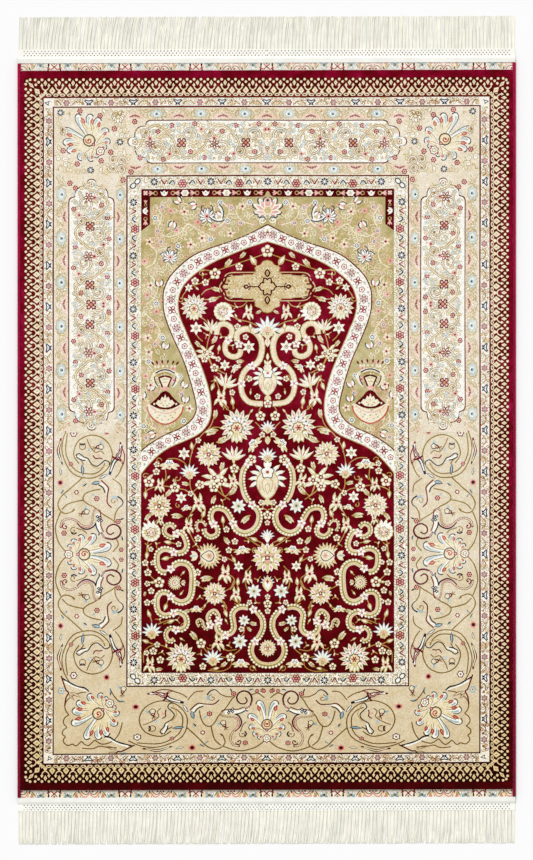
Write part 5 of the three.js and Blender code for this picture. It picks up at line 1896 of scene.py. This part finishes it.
cord_section = [(0, 0), (CORD_WIDE - 1.8, 0)]
cord_section += bent((CORD_WIDE - 1.2, 0), (CORD_WIDE, 0), (CORD_WIDE, 1.8), 2)
cord_section += bent((CORD_WIDE, 1.8), (CORD_WIDE, CORD_HIGH), (CORD_CREST, CORD_HIGH), 4)
cord_section += bent((CORD_CREST, CORD_HIGH), (0, CORD_HIGH), (0, CORD_HIGH - 1.2), 2)
cord_section += [(0, CORD_HIGH - 1.2)]
overcast, tree, shader = material_of("overcast_yarn", 0.8, 0.0)
spot = node(tree, "ShaderNodeTexCoord").outputs["Object"]
along_y = node(tree, "ShaderNodeSeparateXYZ", {0: spot}).outputs["Y"]
# Painted shade: the yarn is painted lighter at the head end and darker towards the foot, as light falls along
# the rug. Over that lie soft blotches of lighter and darker tone.
painted_shade_along = node(tree, "ShaderNodeMapRange", {0: along_y, 1: 0.6, 2: -0.6, 3: 0.0, 4: 1.0})
blotches = node(tree, "ShaderNodeTexNoise", {"Vector": spot, "Scale": 40.0, "Detail": 4.0, "Roughness": 0.6})
dye_with_painted_shade = node(tree, "ShaderNodeMix", {0: painted_shade_along.outputs[0], 6: (*dye("a80f3e"), 1),
    7: (*dye("800e2c"), 1)}, data_type="RGBA")
blotch_tone = node(tree, "ShaderNodeMapRange", {0: blotches.outputs[0], 1: 0.3, 2: 0.7, 3: 0.78, 4: 1.15})
wound = node(tree, "ShaderNodeVectorMath", {0: dye_with_painted_shade.outputs[2], 1: blotch_tone.outputs[0]}, operation="MULTIPLY")
tree.links.new(wound.outputs[0], shader.inputs["Base Color"])
hairs = node(tree, "ShaderNodeTexNoise", {"Vector": spot, "Scale": 900.0, "Detail": 2.0})
fuzz = node(tree, "ShaderNodeBump", {"Height": hairs.outputs[0], "Strength": 0.3, "Distance": 0.0003})
tree.links.new(fuzz.outputs[0], shader.inputs["Normal"])
hand = random.Random(8)
for side, name in ((-1, "left"), (1, "right")):
    stitches = round(2 * CORD_END / STITCH)
    rings = []
    for j in range(3 * stitches + 1):
        place = -CORD_END + 2 * CORD_END * j / (3 * stitches)
        pull = 0.93 if j % 3 == 0 else 1.0
        if j % 3 == 0:
            slack = hand.uniform(-0.05, 0.02)
        ring = []
        for u, w in cord_section:
            out = CORD_WIDE * 0.45 + (u - CORD_WIDE * 0.45) * (pull + slack * 0.5) if u > 0 and w > 0.5 else u
            up = w * (pull + slack * 0.5) if w > 2 else w
            slant = 0.9 * (u / CORD_WIDE - 0.5) * min(1, (CORD_END - abs(place)) / 2)
            x = side * (CORD_SIDE + out)
            ring.append((x * MM, (place + slant + x / 400) * MM, up * MM))
        rings.append(ring)
    n = len(cord_section)
    faces = [(j * n + i, j * n + (i + 1) % n, (j + 1) * n + (i + 1) % n, (j + 1) * n + i)
        for j in range(len(rings) - 1) for i in range(n)]
    faces += [tuple(range(n)), tuple(range(len(rings) * n - n, len(rings) * n))]
    cord_mesh = bpy.data.meshes.new("overcast_" + name)
    cord_mesh.from_pydata([p for ring in rings for p in ring], [], faces)
    bm = bmesh.new()
    bm.from_mesh(cord_mesh)
    bmesh.ops.recalc_face_normals(bm, faces=bm.faces)
    for face in bm.faces:
        face.smooth = len(face.verts) == 4
    bm.to_mesh(cord_mesh)
    bm.free()
    cord_mesh.materials.append(overcast)
    cord = bpy.data.objects.new("overcast_" + name, cord_mesh)
    bpy.context.scene.collection.objects.link(cord)
    finish_piece(cord, "binding", "binding_" + name)

# Each fringe is a bought braid of white cotton, sewn over the end of the cloth: a woven tape that lies
# on the cloth, a net with three rows of small holes, and below it the loose yarns in loose locks.
TAPE_SIDE, TAPE_INNER, TAPE_STEP, NET_INNER, NET_OUTER = 398.7, 589.2, 596.2, 600.2, 611
FRINGE_WIDE = 798
TIP_END, TAPE_HIGH, NET_HIGH, CORE_DEEP = 663.8, 4.2, 1.8, 0.9
# The last of these is no yarn of the braid but a painted shadow, dark grey, for the core under the net's
# holes
YARNS.update(cotton=dye("f0f0e8"), cotton_slope=dye("f4f4ec"), cotton_net=dye("f7f6ee"),
    cotton_shade=dye("6d6d62"))
twine, tree, shader = material_of("cotton_twine", 0.8, 0.15)
spot = node(tree, "ShaderNodeTexCoord").outputs["Object"]
shade = node(tree, "ShaderNodeVertexColor", layer_name="yarn").outputs["Color"]
soiled = node(tree, "ShaderNodeTexNoise", {"Vector": spot, "Scale": 55.0, "Detail": 5.0, "Roughness": 0.65})
tone = node(tree, "ShaderNodeMapRange", {0: soiled.outputs[0], 1: 0.3, 2: 0.7, 3: 0.94, 4: 1.06})
mottled = node(tree, "ShaderNodeVectorMath", {0: shade, 1: tone.outputs[0]}, operation="MULTIPLY")
tree.links.new(mottled.outputs[0], shader.inputs["Base Color"])
ribs = node(tree, "ShaderNodeTexVoronoi", {"Vector": spot, "Scale": 1100.0, "Randomness": 0.6})
twist = node(tree, "ShaderNodeBump", {"Height": ribs.outputs["Distance"], "Strength": 0.3,
    "Distance": 0.0004}, invert=True)
tree.links.new(twist.outputs[0], shader.inputs["Normal"])


def tape_height(y):
    """The top of the braid, this far from the middle of the rug."""
    slope = (abs(y) - TAPE_STEP) / (NET_INNER - TAPE_STEP)
    return TAPE_HIGH + (NET_HIGH - TAPE_HIGH) * min(1, max(0, slope))


def sweep(x, end):
    """How far the yarns' tips are swept sideways, this far across the fringe."""
    across = min(1, max(0, x / FRINGE_WIDE + 0.5))
    if end < 0:
        return -5 * math.sin(math.pi * across)
    return 9 * (1 - 0.75 * across) * math.sin(math.pi * math.sqrt(across))


comb = random.Random(12)
for end, name in ((1, "head"), (-1, "foot")):
    # The tape and the net are one woven skin, and the net's holes are real
    holes = []
    for row in range(3):
        for i in range(71):
            x, y = -(i + 0.5 * (row % 2) + 0.25) * 5.62, 601.4 + row * 3.55 + comb.uniform(-0.2, 0.2)
            wide, tall = comb.uniform(0.9, 1.25), comb.uniform(1.1, 1.5)
            if x > -TAPE_SIDE + 8:
                hole = [(x - wide, y), (x - wide * 0.3, y - tall), (x + wide, y - tall * 0.2),
                    (x + wide * 0.4, y + tall)]
                holes.append([(u, end * v) for u, v in hole][::end])
    for yarn, low, high in (("cotton_slope", TAPE_STEP, NET_INNER), ("cotton_net", NET_INNER, NET_OUTER)):
        lay(yarn, [(0, end * low), (0, end * high), (-TAPE_SIDE, end * high), (-TAPE_SIDE, end * low)])
    outline = [(0, end * NET_OUTER), (-TAPE_SIDE, end * NET_OUTER), (-TAPE_SIDE, end * TAPE_INNER),
        (0, end * TAPE_INNER)]
    skin = weave("braid_" + name, "cotton", outline[::end], holes, TAPE_HIGH, twine, "fringe")
    for v in skin.data.vertices:
        v.co.z += (tape_height((v.co.y - v.co.x / 400) / MM) - TAPE_HIGH) * MM
    # Its core, dark grey as a painted shadow that shows through the net's holes, and the loose yarns that
    # grow from it
    section = [(589.6, 2.75), (594.8, 2.75), (595.9, 0.05), (NET_OUTER, 0.05), (NET_OUTER, CORE_DEEP),
        (600.4, CORE_DEEP), (596.0, TAPE_HIGH - 0.7), (589.6, TAPE_HIGH - 0.7)]
    n = len(section)
    points = [(side * (TAPE_SIDE - 0.4), end * y + side, z) for side in (-1, 1) for y, z in section]
    faces = [(i, (i + 1) % n, n + (i + 1) % n, n + i) for i in range(n)] + [tuple(range(n)),
        tuple(range(n, 2 * n))]
    tones = [YARNS["cotton_shade"]] * len(points)
    for lock in range(140):
        lock_x, lean, stray = -395.2 + lock * 5.686, comb.uniform(-2.2, 2.2), comb.uniform(-0.4, 0.4)
        fade = comb.uniform(0.93, 1.0)
        for strand in range(8):
            deep = strand < 2
            root = lock_x + (strand - 3.5) * 0.68 if not deep else lock_x + (strand - 0.5) * 2.8
            root = min(398, max(-398, root))
            thick = 1.5 if deep else comb.uniform(0.95, 1.35)
            high = 0.45 if deep else comb.uniform(0.8, 1.25)
            edge = min(1, (FRINGE_WIDE / 2 - abs(root)) / 12)
            tip = root + sweep(root, end) + (lean * 0.6 + comb.uniform(-1.3, 1.3)) * edge
            tip = min(401, max(-401, tip))
            length = TIP_END - NET_OUTER - comb.uniform(0, 1.6) + 2
            waver, phase = comb.uniform(0.2, 0.9) * edge, comb.uniform(0, 6)
            # The two lower yarns of each lock are painted darker: a painted shade under and between the locks
            tint = [c * fade * (0.72 if deep else comb.uniform(0.97, 1.0)) for c in dye("fbf9ec")]
            start = len(points)
            for j in range(8):
                t = j / 7
                x = root + stray * edge + (tip - root) * t ** 1.5 + waver * math.sin(phase + 5 * t) * t
                y = end * (NET_OUTER - 2 + length * t) + x / 400
                half_wide = thick * (0.5 if t < 0.9 else 0.4) * (1.5 if deep else 1)
                half_high = min(0.42, high)
                z = high + 0.12 * math.sin(phase + 7 * t)
                for a, b in ((-half_wide, 0), (0, -half_high), (half_wide, 0), (0, half_high)):
                    points.append((x + a, y, max(0.02, min(NET_HIGH, z + b))))
                tones.extend([tint] * 4)
                if j:
                    base = start + 4 * j
                    faces.extend((base - 4 + i, base - 4 + (i + 1) % 4, base + (i + 1) % 4, base + i)
                        for i in range(4))
            faces.append(tuple(range(start, start + 4)))
            faces.append(tuple(range(start + 28, start + 32)))
    fringe_mesh = bpy.data.meshes.new("fringe_yarns_" + name)
    fringe_mesh.from_pydata([(x * MM, y * MM, z * MM) for x, y, z in points], [], faces)
    layer = fringe_mesh.color_attributes.new("yarn", "FLOAT_COLOR", "POINT")
    layer.data.foreach_set("color", np.array([[*t, 1] for t in tones], np.float32).ravel())
    bm = bmesh.new()
    bm.from_mesh(fringe_mesh)
    bmesh.ops.recalc_face_normals(bm, faces=bm.faces)
    bm.to_mesh(fringe_mesh)
    bm.free()
    fringe_mesh.materials.append(twine)
    yarns = bpy.data.objects.new("fringe_yarns_" + name, fringe_mesh)
    bpy.context.scene.collection.objects.link(yarns)
    finish_piece(yarns, "fringe", "fringe_" + name)

size = {"cad": [list(v) for v in cad_box], "scene": [list(v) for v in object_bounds()]}
